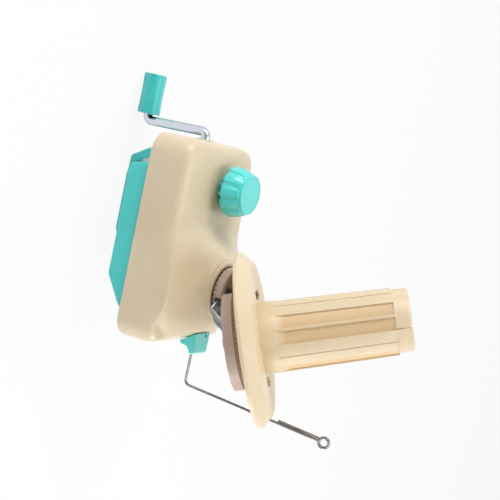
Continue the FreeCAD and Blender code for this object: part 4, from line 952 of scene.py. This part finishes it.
def guide_rod():
    """Guide wire: lower run, bend, upright run and a double eye with its strand lying back along the wire."""
    bend = Vector((GUIDE_BEND_X, 0.0, GUIDE_HEIGHT))
    eye = bend + Vector((GUIDE_OUT, GUIDE_BACK, GUIDE_RISE))
    along = Vector((1.0, 0.0, 0.0))
    rise = (eye - bend).normalized()
    angle = math.degrees(along.angle(rise))
    axis = along.cross(rise).normalized()
    cut = GUIDE_BEND_RADIUS * math.tan(math.radians(angle) / 2)
    reach = (eye - bend).length - cut - EYE_RADIUS - WIRE_RADIUS
    start = Vector((WIRE_START, 0.0, GUIDE_HEIGHT))
    moves = [(GUIDE_BEND_X - WIRE_START - cut, GUIDE_BEND_RADIUS, angle, axis), (reach, 0.0, 0.0, axis)]
    piece = rod_bent("guide_rod", WIRE_RADIUS, start, along, moves)
    side = rise.cross(along).normalized()
    across = rise.cross(side).normalized()
    rings = []
    for shift in (-WIRE_RADIUS, WIRE_RADIUS):
        clear_selection()
        bpy.ops.mesh.primitive_torus_add(major_radius=EYE_RADIUS * MM, minor_radius=WIRE_RADIUS * MM,
                                         major_segments=EYE_SIDES[0], minor_segments=EYE_SIDES[1])
        ring = bpy.context.object
        tilt = Vector((0.0, 0.0, 1.0)).rotation_difference(side).to_matrix().to_4x4()
        settle(ring, Matrix.Translation((eye + side * shift) * MM) @ tilt)
        rings.append(ring)
    strand_top = eye - rise * (EYE_RADIUS + 0.6) + across * (2.0 * WIRE_RADIUS - 0.1)
    back = [(EYE_STRAND - EYE_RADIUS, 0.0, 0.0, axis)]
    strand = rod_bent("guide_strand", WIRE_RADIUS, strand_top, -rise, back)
    join_to(piece, rings + [strand])
    face_outwards(piece)
    shade(piece, 40.0)
    return finished(piece, "guide_wire", "yarn_guide", "guide_steel", guide_steel)


# Studio: strength of the air as light and in mirrors, how dim it is on the camera's side, and the floor
AIR_LIGHT = 0.52
MIRROR_LIGHT = 1.0
FRONT_SHADE = 0.48
FRONT_BAND = (-0.7, 0.5)
FLOOR_WHITE = 0.9
FLOOR_SIZE = 8.0
FLOOR_GAP = 0.0005
PAPER = (0.82, 0.82, 0.82, 1.0)

# Lamps: name, place, aim, size of the square in metres and power in watts
LAMPS = (
    ("left_lamp", (-0.9, -0.12, 0.6), (0.0, 0.0, 0.05), 0.5, 4.4),
    ("low_left_lamp", (-0.85, -0.3, 0.16), (0.0, 0.0, 0.05), 0.25, 1.8),
    ("front_lamp", (0.4, -0.6, 0.8), (0.0, 0.0, 0.05), 0.5, 2.3),
    ("low_right_lamp", (0.45, -0.06, 0.16), (0.03, 0.0, 0.05), 0.15, 0.6),
    ("right_lamp", (0.9, -0.1, 0.5), (0.0, 0.0, 0.06), 0.9, 3.0),
    ("top_lamp", (0.0, 0.25, 1.15), (0.0, 0.0, 0.06), 0.7, 2.6),
)

# Camera: its right and up directions and its place, in metres, and its lens in millimetres
CAMERA_RIGHT = Vector((-0.20667312, 0.45773515, 0.86473392))
CAMERA_UP = Vector((-0.97454437, -0.01781974, -0.22348539))
CAMERA_PLACE = Vector((-0.0841022, -0.5707082, 0.3599014))
CAMERA_LENS = 76.97
CAMERA_SENSOR = 36.0


def seen_as_white(shader_output, tree, share, mirrors):
    """Mixes plain white over a shader for the rays that show a background."""
    n = tree.nodes
    link = tree.links.new
    white = n.new("ShaderNodeEmission")
    white.inputs["Color"].default_value = (1.0, 1.0, 1.0, 1.0)
    white.inputs["Strength"].default_value = 1.0
    path = n.new("ShaderNodeLightPath")
    through = n.new("ShaderNodeMath")
    through.operation = "MAXIMUM"
    link(path.outputs["Is Camera Ray"], through.inputs[0])
    link(path.outputs["Is Transmission Ray"], through.inputs[1])
    seen = through.outputs["Value"]
    if mirrors:
        mirror = n.new("ShaderNodeMath")
        mirror.operation = "MAXIMUM"
        link(seen, mirror.inputs[0])
        link(path.outputs["Is Glossy Ray"], mirror.inputs[1])
        seen = mirror.outputs["Value"]
    part_of = n.new("ShaderNodeMath")
    part_of.operation = "MULTIPLY"
    part_of.inputs[1].default_value = share
    link(seen, part_of.inputs[0])
    mix = n.new("ShaderNodeMixShader")
    link(part_of.outputs["Value"], mix.inputs["Fac"])
    link(shader_output, mix.inputs[1])
    link(white.outputs["Emission"], mix.inputs[2])
    return mix.outputs["Shader"]


def studio():
    """Pale paper floor under the object, seen as near white."""
    clear_selection()
    bpy.ops.mesh.primitive_plane_add(size=FLOOR_SIZE, location=(0.0, 0.0, cad_box[0][2] - FLOOR_GAP))
    floor = bpy.context.object
    floor.name = "studio_floor"
    bpy.ops.object.transform_apply(location=True, rotation=True, scale=True)
    paper = bpy.data.materials.new("floor_paper")
    paper.use_nodes = True
    tree = paper.node_tree
    shader = tree.nodes["Principled BSDF"]
    shader.inputs["Base Color"].default_value = PAPER
    shader.inputs["Roughness"].default_value = 0.9
    shader.inputs["Specular IOR Level"].default_value = 0.1
    paper_white = seen_as_white(shader.outputs["BSDF"], tree, FLOOR_WHITE, True)
    tree.links.new(paper_white, tree.nodes["Material Output"].inputs["Surface"])
    floor.data.materials.append(paper)


def air():
    """Even light from all round, dimmer from the side of the camera; mirrors see it brighter than it lights."""
    world = bpy.context.scene.world or bpy.data.worlds.new("studio_world")
    bpy.context.scene.world = world
    world.use_nodes = True
    tree = world.node_tree
    n = tree.nodes
    link = tree.links.new
    back = n["Background"]
    where = n.new("ShaderNodeTexCoord")
    way = n.new("ShaderNodeSeparateXYZ")
    link(where.outputs["Generated"], way.inputs["Vector"])
    dimmed = ranged(tree, way.outputs["Y"], FRONT_BAND, (FRONT_SHADE, 1.0))
    tone = n.new("ShaderNodeCombineXYZ")
    for axis in ("X", "Y", "Z"):
        link(dimmed, tone.inputs[axis])
    link(tone.outputs["Vector"], back.inputs["Color"])
    path = n.new("ShaderNodeLightPath")
    power = ranged(tree, path.outputs["Is Glossy Ray"], WHOLE, (AIR_LIGHT, MIRROR_LIGHT))
    link(power, back.inputs["Strength"])
    link(seen_as_white(back.outputs["Background"], tree, 1.0, False), n["World Output"].inputs["Surface"])


def lamp(name, at, aim, size, power):
    """Soft square lamp that faces its aim."""
    light = bpy.data.lights.new(name, "AREA")
    light.shape = "SQUARE"
    light.size = size
    light.energy = power
    holder = bpy.data.objects.new(name, light)
    bpy.context.collection.objects.link(holder)
    holder.location = at
    way = Vector(aim) - Vector(at)
    holder.rotation_euler = way.to_track_quat("-Z", "Y").to_euler()
    return holder


def camera():
    """View of the object as the photograph shows it."""
    data = bpy.data.cameras.new("view_camera")
    data.lens = CAMERA_LENS
    data.sensor_width = CAMERA_SENSOR
    holder = bpy.data.objects.new("view_camera", data)
    bpy.context.collection.objects.link(holder)
    back = CAMERA_RIGHT.cross(CAMERA_UP)
    turn = Matrix((CAMERA_RIGHT, CAMERA_UP, back)).transposed().to_4x4()
    holder.matrix_world = Matrix.Translation(CAMERA_PLACE) @ turn
    bpy.context.scene.camera = holder


spool_core()
spool_plate()
gear_disc()
table_ring()
spindle_strip()
knob_cap()
grip_sleeve()
guide_rod()
housing_shell()
cover_tub()
holder_block()
clamp_bar()

studio()
air()
for entry in LAMPS:
    lamp(*entry)
camera()
bpy.context.scene.view_settings.view_transform = "Standard"
